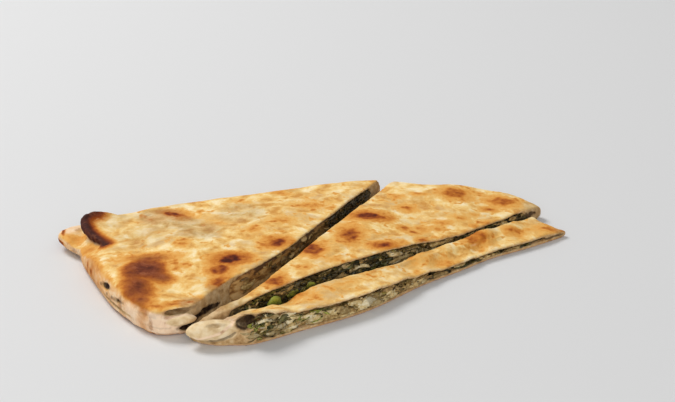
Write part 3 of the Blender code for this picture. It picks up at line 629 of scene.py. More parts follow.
def ball(centre, half_sizes, turn):
    points, faces = unit_ball(CUTTER_FINENESS)
    x, y, z = (points * half_sizes).T
    c, s = math.cos(math.radians(turn)), math.sin(math.radians(turn))
    return new_object("ball", np.column_stack((x * c - y * s, x * s + y * c, z)) + centre, faces)


def tube(path, radii):
    """A closed tube along a path, thinner or thicker on its way."""
    curve = through(path, False, TUBE_STEPS)
    along = np.linspace(0, len(radii) - 1, len(curve))
    radius = np.interp(along, np.arange(len(radii)), radii)
    tangent = np.gradient(curve, axis=0)
    tangent /= np.linalg.norm(tangent, axis=1, keepdims=True)
    across = np.cross(tangent, (0, 0, 1.0))
    across /= np.linalg.norm(across, axis=1, keepdims=True)
    up = np.cross(across, tangent)
    turn = np.arange(TUBE_SIDES) * 2 * math.pi / TUBE_SIDES
    c, s = np.cos(turn)[:, None], np.sin(turn)[:, None]
    return lofted("tube", [p + r * (c * a + s * u) for p, r, a, u in zip(curve, radius, across, up)], False)


def blade(line, inset):
    """What the knife takes away: a tall block to the right of its line."""
    curve = through(line, False, BLADE_STEPS)
    run = curve[-1] - curve[0]
    away = np.array((run[1], -run[0])) / np.linalg.norm(run)
    near = curve - away * inset
    outline = np.vstack((near, near[-1] + away * BLADE_REACH, near[0] + away * BLADE_REACH))
    bm = bmesh.new()
    face = bm.faces.new([bm.verts.new(framed((*p, BLADE_LOW))) for p in outline])
    raised = bmesh.ops.extrude_face_region(bm, geom=[face])["geom"]
    upper = [v for v in raised if isinstance(v, bmesh.types.BMVert)]
    bmesh.ops.translate(bm, verts=upper, vec=(0, 0, (BLADE_HIGH - BLADE_LOW) * MM))
    return from_bmesh(bm, "blade")


def finish(thing, material, node):
    """Gives a piece its material, shades it smooth, puts it under the root and hides the solid that it stands
    for.
    """
    thing.data.shade_smooth()
    thing.data.materials.clear()
    thing.data.materials.append(material)
    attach(thing, "root")
    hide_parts(node)


# Dough ---------------

def tongue():
    """The lower layer that juts out under the turned-up corner."""
    def between(ends):
        run = TONGUE_ROOT_X - TONGUE_NOSE_X
        return lambda xy: ends[0] + (ends[1] - ends[0]) * np.clip((xy[:, 0] - TONGUE_NOSE_X) / run, 0, 1)

    middle = [0.5 * (low + high) for low, high in zip(TONGUE_LOW, TONGUE_HIGH)]
    return pillow("tongue", TONGUE, TONGUE_SPINE, between(TONGUE_HIGH), between(TONGUE_LOW),
                  between(middle), flat(TONGUE_ROUNDING), TONGUE_GRID)


def valley():
    """What is missing from the dough under the turned-up corner."""
    return pillow("valley", VALLEY, VALLEY_SPINE, flat(VALLEY_TOP),
                  lambda xy: post_height(VALLEY_POSTS, VALLEY_REACH, xy), flat(VALLEY_RIM),
                  flat(VALLEY_ROUNDING), VALLEY_GRID)


def uncut_dough(slice_):
    dough = pillow(slice_.name + "_dough", slice_.dough, slice_.spine,
                   lambda xy: crust_height(slice_, xy), flat(0.0),
                   lambda xy: slice_.side * crust_height(slice_, xy),
                   lambda xy: fold_radius(slice_, xy), DOUGH_GRID)
    if slice_.name == CORNERED:
        boolean(dough, "UNION", tongue())
        boolean(dough, "DIFFERENCE", valley())
        boolean(dough, "UNION", tube(LIP_PATH, LIP_RADII))
    return dough


def pocket(slice_, gap):
    """The room for the filling between the two layers, less a gap on every side."""
    outline = np.array(slice_.pocket, float)
    inward = nearest_on(slice_.pocket_spine, outline) - outline
    outline += inward / np.linalg.norm(inward, axis=1, keepdims=True) * gap
    return pillow(slice_.name + "_core", outline, slice_.pocket_spine,
                  lambda xy: room(slice_, xy, gap)[1], lambda xy: room(slice_, xy, gap)[0],
                  lambda xy: 0.5 * sum(room(slice_, xy, gap)), flat(POCKET_ROUNDING), POCKET_GRID)


def carve(slice_, dough):
    """Dough gathered into folds, then the hollows and grooves."""
    for bulge in slice_.gathered:
        boolean(dough, "UNION", ball(*bulge))
    for hollow, _ in slice_.hollows:
        boolean(dough, "DIFFERENCE", ball(*hollow))
    for groove, _ in slice_.grooves:
        boolean(dough, "DIFFERENCE", tube(*groove))


def distance_to(surface, points):
    """How far points lie from a surface, in millimetres."""
    mesh = surface.data
    tree = BVHTree.FromPolygons([v.co for v in mesh.vertices], [p.vertices for p in mesh.polygons])
    return np.array([tree.find_nearest(Vector(p))[3] for p in framed(points)]) / MM


def depth_inside(spot, points):
    """How far points lie inside a spot's ellipse, in millimetres."""
    x, y, half_length, half_width, turn, _ = spot
    u, v = seen_from(x, y, turn, points)
    return (1 - np.hypot(u / half_length, v / half_width)) * min(half_length, half_width)


def spot_amount(slice_, points, noise):
    """How toasted the crust is, from 0 to 1: ragged spots with soft rims and golden halos."""
    strayed = points.copy()
    for axis in (0, 1):
        strayed[:, axis] += sum(height * noise(points + start * (axis + 1), span)
                                for start, height, span in SPOT_STRAYS)
    broken = np.minimum(UNBROKEN + noise.waves(points, *SPOT_BREAKS), MOST_BROKEN)
    amount = np.zeros(len(points))
    for spot in slice_.spots:
        inside = depth_inside(spot, strayed)
        halo_reach = min(HALO_MOST, HALO_LEAST + HALO_GROWTH * min(spot[2:4]))
        core = CORE_STRENGTH * spot[5] * smoothstep(*CORE_FADE, inside) * broken
        halo = HALO_STRENGTH * spot[5] * smoothstep(-halo_reach, HALO_INNER, inside)
        amount = np.maximum(amount, np.maximum(core, halo))
    return amount


def paint_burn(points, noise, toast):
    """The burnt patch: how burnt each point is, with orange round it in toast."""
    wobble = noise.waves(points, *BURN_RIM)
    burn = np.zeros(len(points))
    for spot in BURNS:
        inside = depth_inside(spot, points) + wobble
        burn = np.maximum(burn, spot[5] * smoothstep(*BURN_FADE, inside))
        np.maximum(toast, BURN_TOAST * spot[5] * smoothstep(*BURN_TOAST_FADE, inside), out=toast)
    return burn


def near_ball(centre, half_sizes, turn, points):
    """Distance from an ellipsoid's centre as a share of its size: 1 on its surface."""
    local = np.column_stack((*seen_from(*centre[:2], turn, points), points[:, 2] - centre[2]))
    return np.linalg.norm(local / half_sizes, axis=1)


def near_places(places, points):
    """How near points lie to the middle of places in plan: 0 outside their reach, up to their strength."""
    near = np.zeros(len(points))
    for x, y, reach, strength in places:
        away = np.hypot(points[:, 0] - x, points[:, 1] - y)
        near = np.maximum(near, strength * smoothstep(reach, 0.5 * reach, away))
    return near


def raw_dough(slice_, points, skin):
    """Gathered dough, the near tips and the tongue's upper side stay pale; 1 where they are."""
    pale = np.zeros(len(points))
    for bulge in slice_.gathered:
        share = near_ball(*bulge, points)
        pale = np.maximum(pale, smoothstep(*BULGE_INSIDE, share) * smoothstep(*BULGE_OUTSIDE, share))
    below = smoothstep(PALE_TOP, PALE_TOP - PALE_FADE, points[:, 2])
    return np.maximum(pale, near_places(slice_.pale, points) * skin * below)


def near_path(path, points):
    """Distance to a smooth path in space, how far along it the nearest place is, and that place."""
    curve = through(path, False, TUBE_STEPS)
    away = np.linalg.norm(points[:, None] - curve[None], axis=2)
    nearest = away.argmin(axis=1)
    return away.min(axis=1), nearest / (len(curve) - 1), curve[nearest]


def radius_at(along, radii):
    return np.interp(along * (len(radii) - 1), np.arange(len(radii)), radii)


def groove_share(groove, points):
    """Distance to a groove's middle as a share of its radius there: 1 on its surface."""
    path, radii = groove
    low, high = np.min(path, axis=0) - GROOVE_MARGIN, np.max(path, axis=0) + GROOVE_MARGIN
    close = ((points > low) & (points < high)).all(axis=1)
    distance, along, _ = near_path(path, points[close])
    share = np.full(len(points), np.inf)
    share[close] = distance / radius_at(along, radii)
    return share


def hollow_shade(slice_, points, skin, noise):
    """Painted shade in the dough's hollows, grooves and gaps and at their rims: how dark, from 0 to 1."""
    shares = [(near_ball(*hollow, points), dark) for hollow, dark in slice_.hollows]
    shares += [(groove_share(groove, points), dark) for groove, dark in (*slice_.grooves, *slice_.gaps)]
    depth = np.zeros(len(points))
    ragged = noise.waves(points, *HOLLOW_RIM)
    for share, dark in shares:
        share = share + ragged
        rim = HOLLOW_RIM_SHARE * smoothstep(*HOLLOW_RIM_FADE, share)
        depth = np.maximum(depth, dark * np.maximum(smoothstep(*HOLLOW_FADE, share) * (1 - skin), rim))
    return depth


def near_corner(points):
    """Points near the turned-up corner: which, distance to it, how far along it and how far inside it."""
    close = np.flatnonzero(np.hypot(*(points[:, :2] - CORNER[:2]).T) < CORNER[2])
    distance, along, nearest = near_path(LIP_PATH, points[close])
    inside = np.array(LIP_INSIDE) - nearest[:, :2]
    inside /= np.linalg.norm(inside, axis=1, keepdims=True)
    return close, distance, along, ((points[close] - nearest)[:, :2] * inside).sum(1)


def soften_corner(points, edges):
    """Lets the turned-up corner run smoothly into the crust inside it."""
    close, distance, _, offset = near_corner(points)
    share = np.zeros(len(points))
    share[close] = (smoothstep(*SOFT_OFFSET, offset) * smoothstep(*SOFT_REACH, distance)
                    * (points[close][:, 2] > LIP_ABOVE))
    points += share[:, None] * (smoothed(points, edges, CORNER_SMOOTHING) - points)


def corner_char(points):
    """The burnt rim of the turned-up corner, widest at its outer side."""
    close, distance, along, offset = near_corner(points)
    outer, inner = (radius_at(along, LIP_RADII) + beyond for beyond in CHAR_BEYOND)
    char = np.zeros(len(points))
    char[close] = (smoothstep(*CHAR_LENGTH, along) * smoothstep(outer, inner, distance)
                   * smoothstep(*CHAR_OFFSET, offset))
    return char


def brown_corner(points, toast):
    """The browning inside the turned-up corner, and round the pale middle of the tongue's nose."""
    close, distance, along, _ = near_corner(points)
    brown = (CORNER_TOAST * smoothstep(*BROWN_LENGTH, along) * smoothstep(*BROWN_REACH, distance)
             * (points[close][:, 2] > BROWN_ABOVE))
    toast[close] = np.maximum(toast[close], brown)
    ring = smoothstep(*NOSE_RING, np.abs(points[:, 2] - NOSE_MIDDLE))
    np.maximum(toast, NOSE_TOAST * smoothstep(*NOSE_TIP, points[:, 0]) * ring, out=toast)


def relief(points, normals, noise, skin, soft, hollow):
    """How far the surface is raised: fine on the crust, rougher where the dough is torn or gathered."""
    top = skin * smoothstep(*TOP_FADE, normals[:, 2])
    fine = noise.waves(points, *SKIN_WAVES) + noise.waves(points, *SKIN_GRAIN)
    torn = (1 - skin) * TORN_HEIGHT + hollow * HOLLOW_HEIGHT
    lift = (top * fine + (skin - top) * WALL_SHARE * fine + torn * noise.waves(points, *TORN_WAVES)
            + soft * noise.waves(points, *SOFT_WAVES))
    return lift * smoothstep(*TABLE_FADE, points[:, 2])


def dress_dough(slice_, material):
    noise = Noise(slice_.seed)
    cornered = slice_.name == CORNERED
    dough = uncut_dough(slice_)
    whole = dough.copy()
    whole.data = dough.data.copy()
    for line in slice_.cuts:
        boolean(dough, "DIFFERENCE", blade(line, 0.0))
    boolean(dough, "DIFFERENCE", pocket(slice_, 0.0))
    carve(slice_, dough)
    remesh(dough, slice_.voxel)

    points = points_of(dough)
    edges = read(dough.data.edges, "vertices", 2, np.int32)
    skin = smoothstep(*SKIN_FADE, distance_to(whole, points))
    bpy.data.objects.remove(whole, do_unlink=True)
    points = smoothed(points, edges, DOUGH_SMOOTHING)
    if cornered:
        soften_corner(points, edges)
    set_points(dough, points)
    normals = normals_of(dough)

    # How dark the painted shade in hollows, grooves and gaps is; it also roughens the dough there.
    hollow = hollow_shade(slice_, points, skin, noise)
    raw = raw_dough(slice_, points, skin)
    char = corner_char(points) if cornered else np.zeros(len(points))
    lift = relief(points, normals, noise, skin, np.maximum(raw, char) * skin, hollow)
    points = points + normals * lift[:, None]
    points[:, 2] = np.maximum(points[:, 2], 0.0)
    low, high = (np.array(c) / MM + PLAN_CENTRE for c in CAD_BOX)
    points = np.clip(points, low + BOX_MARGIN, high - BOX_MARGIN)
    set_points(dough, points)

    toast = spot_amount(slice_, points, noise)
    burn = np.zeros(len(points))
    if cornered:
        upward = smoothstep(*UPWARD_FADE, normals[:, 2])
        before = toast.copy()
        burn = paint_burn(points, noise, toast) * upward
        toast = before + (toast - before) * (WALL_BURN + (1 - WALL_BURN) * upward)
        brown_corner(points, toast)
    # Two of these layers are painted shade: the one for the hollows, and the one from the slice's places of
    # shade.
    store(dough, plain=near_places(slice_.plain, points), pale=raw, hollow=hollow,
          dull=near_places(slice_.dull, points), skin=skin, toast=toast, char=char, burn=burn,
          wall=skin * smoothstep(*WALL_FADE, normals[:, 2]), height=points[:, 2])
    finish(dough, material, slice_.name + "_bread")


# Filling ---------------

CORE_GAP = 0.15
CORE_LIGHT_ENDS = (60.0, -30.0)         # the core grows lighter between these places in X
LEAF_GRID = (7, 4)                      # points along and across a scrap of leaf
LEAF_THICKNESS = 0.28
LEAF_LENGTHS, LEAF_WIDTHS = (2.4, 7.5), (1.4, 3.4)
LEAF_TURNS = (0.7, 0.25, 0.75)          # how far scraps are turned about Z, Y and X
BIG_LEAF_TURNS, BIG_LEAF_PROUD, BIG_LEAF_BEND = (0.0, 0.1, 1.2), 1.1, 0.5
CRUMBS = ((0.5, 1.5), (0.5, 1.5), 0.5)   # lengths, widths and how loosely they lie
SMEARS = ((2.2, 6.0), (0.7, 2.0), 0.12)
STRINGS = ((1.0, 2.6), (0.25, 0.5), 0.5)
FACE_DEPTH = 3.2                        # leaves and crumbs lie within this depth behind a cut
PROUD = (-0.2, 1.0)                     # how far a piece may stand out of the cut
PROBES, SPARE = 60, 4                   # places that measure the room, and draws for each piece
BEHIND_POWER, ROOM_MARGIN = 1.5, 0.1
TONE_POWER, BROWN_SPREAD = 1.3, 0.3
SCATTER_SEED, LUMP_SEED, BIG_LEAF_SEED = 100, 200, 300
HOLLOW_MARGIN, GROOVE_CLEARANCE = 1.05, 1.3
CHEESE_FINENESS, BIG_LUMP_FINENESS, FLATNESS, BEND = 2, 3, 0.8, 0.35
SWELL, FINE_SWELL, LUMP_WAVES = (0, 0.5, 1.1, 1), (77, 0.2, 0.5, 1), (0.35, 2.2, 3)
LUMP_SUNK, LUMP_BROWN = 0.6, 0.2


def face_axes(curve, along):
    """Places at lengths along a cut, the direction of the cut there and the direction out of it."""
    run = at_lengths(curve, along + 1.0) - at_lengths(curve, along - 1.0)
    run /= np.linalg.norm(run, axis=1, keepdims=True)
    return at_lengths(curve, along), run, np.column_stack((run[:, 1], -run[:, 0]))


def scatter_places(slice_, face, density, rng):
    """Random places on a cut: point, direction along, direction out, and the room's ends."""
    curve = through(face.line, False, OUTLINE_STEPS)
    start, end = face.span
    low, high = room(slice_, at_lengths(curve, np.linspace(start, end, PROBES)), CORE_GAP)
    count = max(1, int(density * (high - low).mean() * (end - start)))
    along = rng.uniform(start, end, SPARE * count)
    low, high = room(slice_, at_lengths(curve, along), CORE_GAP)
    keep = rng.random(len(along)) < (high - low) / (high - low).max()
    return (*face_axes(curve, along[keep][:count]), low[keep][:count], high[keep][:count])


def turned(points, yaw, pitch, roll):
    """Sets of points, each set turned about X, then Y, then Z."""
    def spin(p, angle, a, b):
        c, s = np.cos(angle)[:, None], np.sin(angle)[:, None]
        p = p.copy()
        p[..., a], p[..., b] = c * p[..., a] - s * p[..., b], s * p[..., a] + c * p[..., b]
        return p
    return spin(spin(spin(points, roll, 1, 2), pitch, 2, 0), yaw, 0, 1)


def put_on_face(local, xy, run, out, low, high, rng, deepest):
    """Sets pieces made round zero, X along the cut and Y out of it, on their places, inside the room."""
    count = len(xy)
    proud = rng.uniform(*PROUD, count)
    behind = rng.random(count) ** BEHIND_POWER * deepest
    z = low + rng.random(count) * (high - low)
    y = np.minimum(local[..., 1] - behind[:, None], proud[:, None])
    plan = xy[:, None] + local[..., :1] * run[:, None] + y[..., None] * out[:, None]
    height = np.clip(z[:, None] + local[..., 2], low[:, None] + ROOM_MARGIN, high[:, None] - ROOM_MARGIN)
    return np.dstack((plan, height))


def leaf_shapes(count, lengths, widths, bend, rng):
    """Thin bent scraps of leaf with both faces and a rim, lying flat round zero."""
    u, v = np.meshgrid(*(np.linspace(-1, 1, n) for n in LEAF_GRID), indexing="ij")
    u, v = u.ravel()[None], v.ravel()[None]

    def draw(low, high):
        return rng.uniform(low, high, (count, 1))

    length, width = draw(*lengths) / 2, draw(*widths) / 2
    outline = (np.sqrt(np.clip(1 - u ** 4, 0.06, 1))
               * (1 + draw(0, 0.35) * np.sin(draw(2, 6) * u + draw(0, 6))))
    x = length * u + draw(-0.3, 0.3) * v
    y = width * v * outline + draw(-0.5, 0.5) * u ** 2 * width
    z = bend * (draw(-0.9, 0.9) * u ** 2 + draw(-0.7, 0.7) * v ** 2 * width
                + draw(0.05, 0.3) * np.sin(draw(2, 7) * u + draw(0, 6) + draw(-1, 1) * v))
    middle = np.dstack((x, y, z))
    grid = middle.reshape(count, *LEAF_GRID, 3)
    normal = np.cross(np.gradient(grid, axis=1), np.gradient(grid, axis=2)).reshape(count, -1, 3)
    normal /= np.linalg.norm(normal, axis=2, keepdims=True) + 1e-9
    half = normal * LEAF_THICKNESS / 2
    return np.concatenate((middle + half, middle - half), axis=1)


def leaf_faces():
    """Triangles of one scrap: the upper grid, the lower grid the other way round, and the rim."""
    nu, nv = LEAF_GRID
    at = np.arange(nu * nv).reshape(nu, nv)
    a, b, c, d = at[:-1, :-1].ravel(), at[1:, :-1].ravel(), at[1:, 1:].ravel(), at[:-1, 1:].ravel()
    rim = np.concatenate((at[:-1, 0], at[-1, :-1], at[:0:-1, -1], at[0, :0:-1]))
    after, under = np.roll(rim, -1), nu * nv
    corners = [(a, b, c), (a, c, d), (c + under, b + under, a + under), (d + under, c + under, a + under),
               (rim, rim + under, after + under), (rim, after + under, after)]
    return np.vstack([np.column_stack(corner) for corner in corners])


def leaf_scraps(slice_, face, rng):
    xy, run, out, low, high = scatter_places(slice_, face, face.leaves, rng)
    count = len(xy)
    leaf = leaf_shapes(count, LEAF_LENGTHS, LEAF_WIDTHS, 1.0, rng)
    leaf = turned(leaf, *(rng.normal(0, spread, count) for spread in LEAF_TURNS))
    points = put_on_face(leaf, xy, run, out, low, high, rng, FACE_DEPTH)
    darkest, brightest = face.greens
    tones = darkest + rng.random(count) ** TONE_POWER * (brightest - darkest)
    browns = np.clip(face.brown + rng.uniform(-BROWN_SPREAD, BROWN_SPREAD, count), 0, 1)
    return points, leaf_faces(), tones, browns


def on_face(slice_, line, along, local, height, flat_room=False):
    """One piece made round zero, X along the cut and Y out of it, at a length and a height."""
    xy, run, out = face_axes(through(line, False, OUTLINE_STEPS), np.array([along]))
    plan = xy + local[:, :1] * run + local[:, 1:2] * out
    low, high = room(slice_, xy if flat_room else plan, CORE_GAP)
    return np.column_stack((plan, np.clip(height + local[:, 2], low, high)))[None]


def big_leaf(slice_, rng, line, along, height, length, width, tone):
    """One leaf that faces out of the cut."""
    leaf = leaf_shapes(1, (length, length), (width, width), BIG_LEAF_BEND, rng)
    leaf = turned(leaf, *(np.array([turn]) for turn in BIG_LEAF_TURNS))[0] + (0, BIG_LEAF_PROUD, 0)
    return on_face(slice_, line, along, leaf, height, True), leaf_faces(), np.array([tone]), np.array([0.0])


def cheese(slice_, face, rng, noise, density, lengths, widths, loose):
    """Lumps of crumbled cheese, or strings of it; the looser, the more they are turned."""
    xy, run, out, low, high = scatter_places(slice_, face, density, rng)
    count = len(xy)
    points, faces = unit_ball(CHEESE_FINENESS)
    size = np.column_stack((rng.uniform(*lengths, count), rng.uniform(*widths, count),
                            rng.uniform(*widths, count) * FLATNESS))
    lump = points[None] * size[:, None]
    lump[..., 2] += rng.normal(0, BEND, (count, 1)) * (points[None, :, 0]) ** 2 * size[:, :1]
    spots = (lump + rng.uniform(0, 300, (count, 1, 3))).reshape(-1, 3)
    swell = 1 + noise.waves(spots, *SWELL) + noise.waves(spots, *FINE_SWELL)
    lump *= swell.reshape(count, -1, 1)
    lump = turned(lump, rng.normal(0, loose, count), rng.normal(0, 0.6 * loose, count),
                  rng.uniform(-3, 3, count))
    placed = put_on_face(lump, xy, run, out, low, high, rng, 0.5 * FACE_DEPTH)
    return placed, faces, rng.uniform(*face.tones, count), np.full(count, face.brown)


def big_lump(slice_, noise, line, along, height, half_length, half_width, tone):
    """One lump of cheese that shows in the cut."""
    points, faces = unit_ball(BIG_LUMP_FINENESS)
    lump = points * (half_length, half_width, half_width)
    lump *= (1 + noise.waves(lump, along, *LUMP_WAVES))[:, None]
    lump[:, 1] -= LUMP_SUNK * half_width
    return on_face(slice_, line, along, lump, height), faces, np.array([tone]), np.array([LUMP_BROWN])


def clear_of_hollows(slice_, batch):
    """The pieces of a batch that don't lie in a hollow of the dough."""
    placed, piece_faces, *values = batch
    middles = placed.mean(axis=1)
    keep = np.ones(len(placed), bool)
    for hollow, _ in slice_.hollows:
        keep &= near_ball(*hollow, middles) > HOLLOW_MARGIN
    for groove, _ in slice_.grooves:
        keep &= groove_share(groove, middles) > GROOVE_CLEARANCE
    return (placed[keep], piece_faces, *(v[keep] for v in values))


def joined(name, batches):
    """One mesh of several batches of like pieces, with each piece's tone and how brown it is."""
    parts, start = [], 0
    for placed, piece_faces, tone, brown in batches:
        count, per_piece = placed.shape[:2]
        offsets = start + np.arange(count)[:, None, None] * per_piece
        parts.append((placed.reshape(-1, 3), (piece_faces[None] + offsets).reshape(-1, 3),
                      np.repeat(tone, per_piece), np.repeat(brown, per_piece)))
        start += count * per_piece
    points, faces, tones, browns = (np.concatenate(part) for part in zip(*parts))
    thing = new_object(name, points, faces)
    store(thing, tone=tones, brown=browns)
    return thing


def core_of(slice_, noise):
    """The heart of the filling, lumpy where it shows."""
    core = pocket(slice_, CORE_GAP)
    for line in slice_.cuts:
        boolean(core, "DIFFERENCE", blade(line, slice_.recess))
    for hollow, _ in slice_.hollows:
        boolean(core, "DIFFERENCE", ball(*hollow))
    remesh(core, CORE_VOXEL)
    points = points_of(core)
    lift = noise.waves(points * CORE_FLATTENED, *CORE_WAVES)
    points += normals_of(core) * (lift * slice_.lumps)[:, None]
    low, high = room(slice_, points[:, :2], CORE_GAP)
    points[:, 2] = np.clip(points[:, 2], low, high)
    set_points(core, points)
    inside = [smoothstep(*CORE_HOLLOW_FADE, near_ball(*hollow, points)) for hollow, _ in slice_.hollows]
    # level is the core's height in its room, which the material turns into painted shade under the crust;
    # hollow is painted shade in the hollows.
    store(core, light=slice_.light * smoothstep(*CORE_LIGHT_ENDS, points[:, 0]),
          level=(points[:, 2] - low) / (high - low),
          hollow=np.max(inside, axis=0) if inside else np.zeros(len(points)))
    return core


def add_filling(slice_, materials):
    rng = np.random.default_rng(slice_.seed + SCATTER_SEED)
    noise = Noise(slice_.seed + LUMP_SEED)
    chosen = np.random.default_rng(slice_.seed + BIG_LEAF_SEED)
    core = core_of(slice_, noise)
    scraps = [clear_of_hollows(slice_, leaf_scraps(slice_, face, rng)) for face in slice_.faces]
    scraps += [big_leaf(slice_, chosen, *leaf) for leaf in slice_.big_leaves]
    leaves = joined(slice_.name + "_leaves", scraps)
    lumps = [clear_of_hollows(slice_, cheese(slice_, face, rng, noise, density, *sizes))
             for face in slice_.faces
             for density, sizes in ((face.crumbs, CRUMBS), (face.smears, SMEARS), (face.strings, STRINGS))]
    lumps += [big_lump(slice_, noise, *lump) for lump in slice_.big_lumps]
    crumbs = joined(slice_.name + "_cheese", lumps)
    for thing, material in zip((core, leaves, crumbs), materials):
        finish(thing, material, slice_.name + "_filling")


# Materials ---------------

# Ramps of colour: place on the ramp, then red, green and blue as a screen shows them, up to 255.
# Mottled colours come after the noise they follow: its span in mm, detail, roughness, distortion.
CRUST = ((8.0, 4, 0.6, 0.35),
         [(0.36, 212, 150, 72), (0.45, 236, 186, 104), (0.54, 248, 214, 144), (0.65, 254, 234, 188)])
BROWNED = [(0.00, 240, 200, 124), (0.16, 236, 182, 98), (0.30, 228, 162, 76), (0.44, 206, 128, 46),
           (0.60, 172, 92, 26), (0.76, 126, 52, 14), (0.94, 70, 20, 6)]
SCORCHED = (5.0, 4, 0.6, 0.6), [(0.34, 88, 36, 18), (0.50, 120, 56, 30), (0.66, 154, 88, 54)]
RAW = (3.5, 4, 0.6, 0.6), [(0.30, 222, 162, 106), (0.48, 244, 198, 146), (0.68, 254, 230, 194)]
BURNT = (4.0, 4, 0.6, 0.8), [(0.30, 48, 22, 18), (0.52, 78, 38, 28), (0.70, 120, 70, 44)]
TORN = (2.8, 5, 0.65, 0.2), [(0.30, 148, 110, 68), (0.48, 194, 156, 106), (0.68, 220, 192, 148)]
GATHERED = (5.3, 5, 0.6, 0.2), [(0.32, 206, 172, 124), (0.50, 236, 208, 162), (0.68, 248, 228, 192)]
GREEN_LEAF = [(0.0, 28, 32, 14), (0.35, 60, 62, 24), (0.60, 102, 102, 38), (0.80, 142, 140, 54),
              (1.0, 168, 178, 66)]
BROWN_LEAF = [(0.0, 52, 36, 18), (0.35, 106, 76, 36), (0.60, 150, 112, 58), (0.80, 182, 144, 84),
              (1.0, 206, 174, 116)]
CHEESE = [(0.0, 140, 106, 54), (0.3, 184, 150, 88), (0.65, 218, 192, 134), (1.0, 240, 226, 188)]
DARK_CORE = ((2.4, 4, 0.65, 0.8),
             [(0.30, 46, 38, 18), (0.48, 92, 76, 38), (0.60, 136, 112, 62), (0.74, 176, 152, 100)])
# The light core's ramp runs from its foot, light, to its top, dark: painted shade under the crust.
SHADED_LIGHT_CORE = [(0.10, 224, 184, 124), (0.40, 206, 160, 96), (0.68, 168, 116, 56), (1.0, 92, 58, 26)]
FLOUR, TAN, WHITE_DOUGH, FOLD = (224, 194, 142), (206, 152, 80), (255, 232, 206), (172, 118, 78)
# Browns at the dough's foot, and greyish browns of painted shade.
FOOT, SHADE_BROWNS = ((222, 150, 84), (146, 88, 62)), ((148, 116, 76), (206, 176, 132))
# Painted shade in the dough's hollows, from dark brown to near black, and in the core's hollows; soaked
# filling; the floor.
HOLLOW_SHADE_BROWNS, CORE_SHADE, SOAKED, FLOOR_GREY = ((54, 28, 16), (12, 7, 5)), (20, 12, 8), (92, 72, 34), (222, 222, 222)

# Patches of noise: span in mm, detail, roughness and distortion, then where the noise is cut off, and
# what it gives there.
FLOURY, TANNED = (12.0, 4, 0.6, 0.3, 0.50, 0.68, 0.0, 0.6), (15.0, 3, 0.6, 0.3, 0.50, 0.66, 0.0, 0.5)
SPECKLE, FRECKLES = (1.6, 4, 0.55, 0.0, 0.42, 0.66, -0.04, 0.05), (5.0, 2, 0.5, 0.2, 0.54, 0.74, 0.0, 0.34)
# Folds in raw dough, and patches in the greyish painted shade.
FOLDS, SHADE_GREYS = (7.0, 4, 0.6, 0.4, 0.51, 0.66, 0.0, 0.7), (4.0, 4, 0.6, 0.0, 0.35, 0.65, 0.0, 1.0)
# Patches in the painted shade of hollows, and soaked places in the filling.
HOLLOW_SHADE_PATCHES, SOAKS = (2.6, 4, 0.65, 0.0, 0.34, 0.56, 0.85, 1.0), (7.0, 3, 0.6, 0.5, 0.40, 0.58, 0.5, 0.0)
LEAF_TONES = (1.5, 3, 0.55, 0.0, 0.3, 0.7, -0.15, 0.15)
CHEESE_TONES = (1.4, 4, 0.55, 0.0, 0.3, 0.7, -0.25, 0.25)
STREAKS, STREAK_LENGTH = (2.4, 4, 0.6, 0.3, 0.3, 0.7, -0.45, 0.45), 3.5
# Fades: from and to, and what they give there.
# The second fade takes the painted shade away where the crust is toasted.
FRECKLES_GONE, PAINTED_SHADE_GONE, FOOT_SHARE = (0.1, 0.5, 1.0, 0.0), (0.3, 0.65, 0.75, 0.0), (0.3, 2.2, 0.5, 0.0)
TOASTED_FROM, RAW_TOASTED_FROM, WHITE_SHARE = (0.02, 0.24), (0.15, 0.6), 0.6
FOOT_MOTTLE, HOLLOW_SHADE_MOTTLE = 6.0, 2.0     # spans in mm


def srgb(*colour):
    """A colour as it shows on a screen, from 0 to 255, as the shader wants it."""
    def linear(c):
        c /= 255
        return c / 12.92 if c <= 0.04045 else ((c + 0.055) / 1.055) ** 2.4
    return (*(linear(c) for c in colour), 1.0)


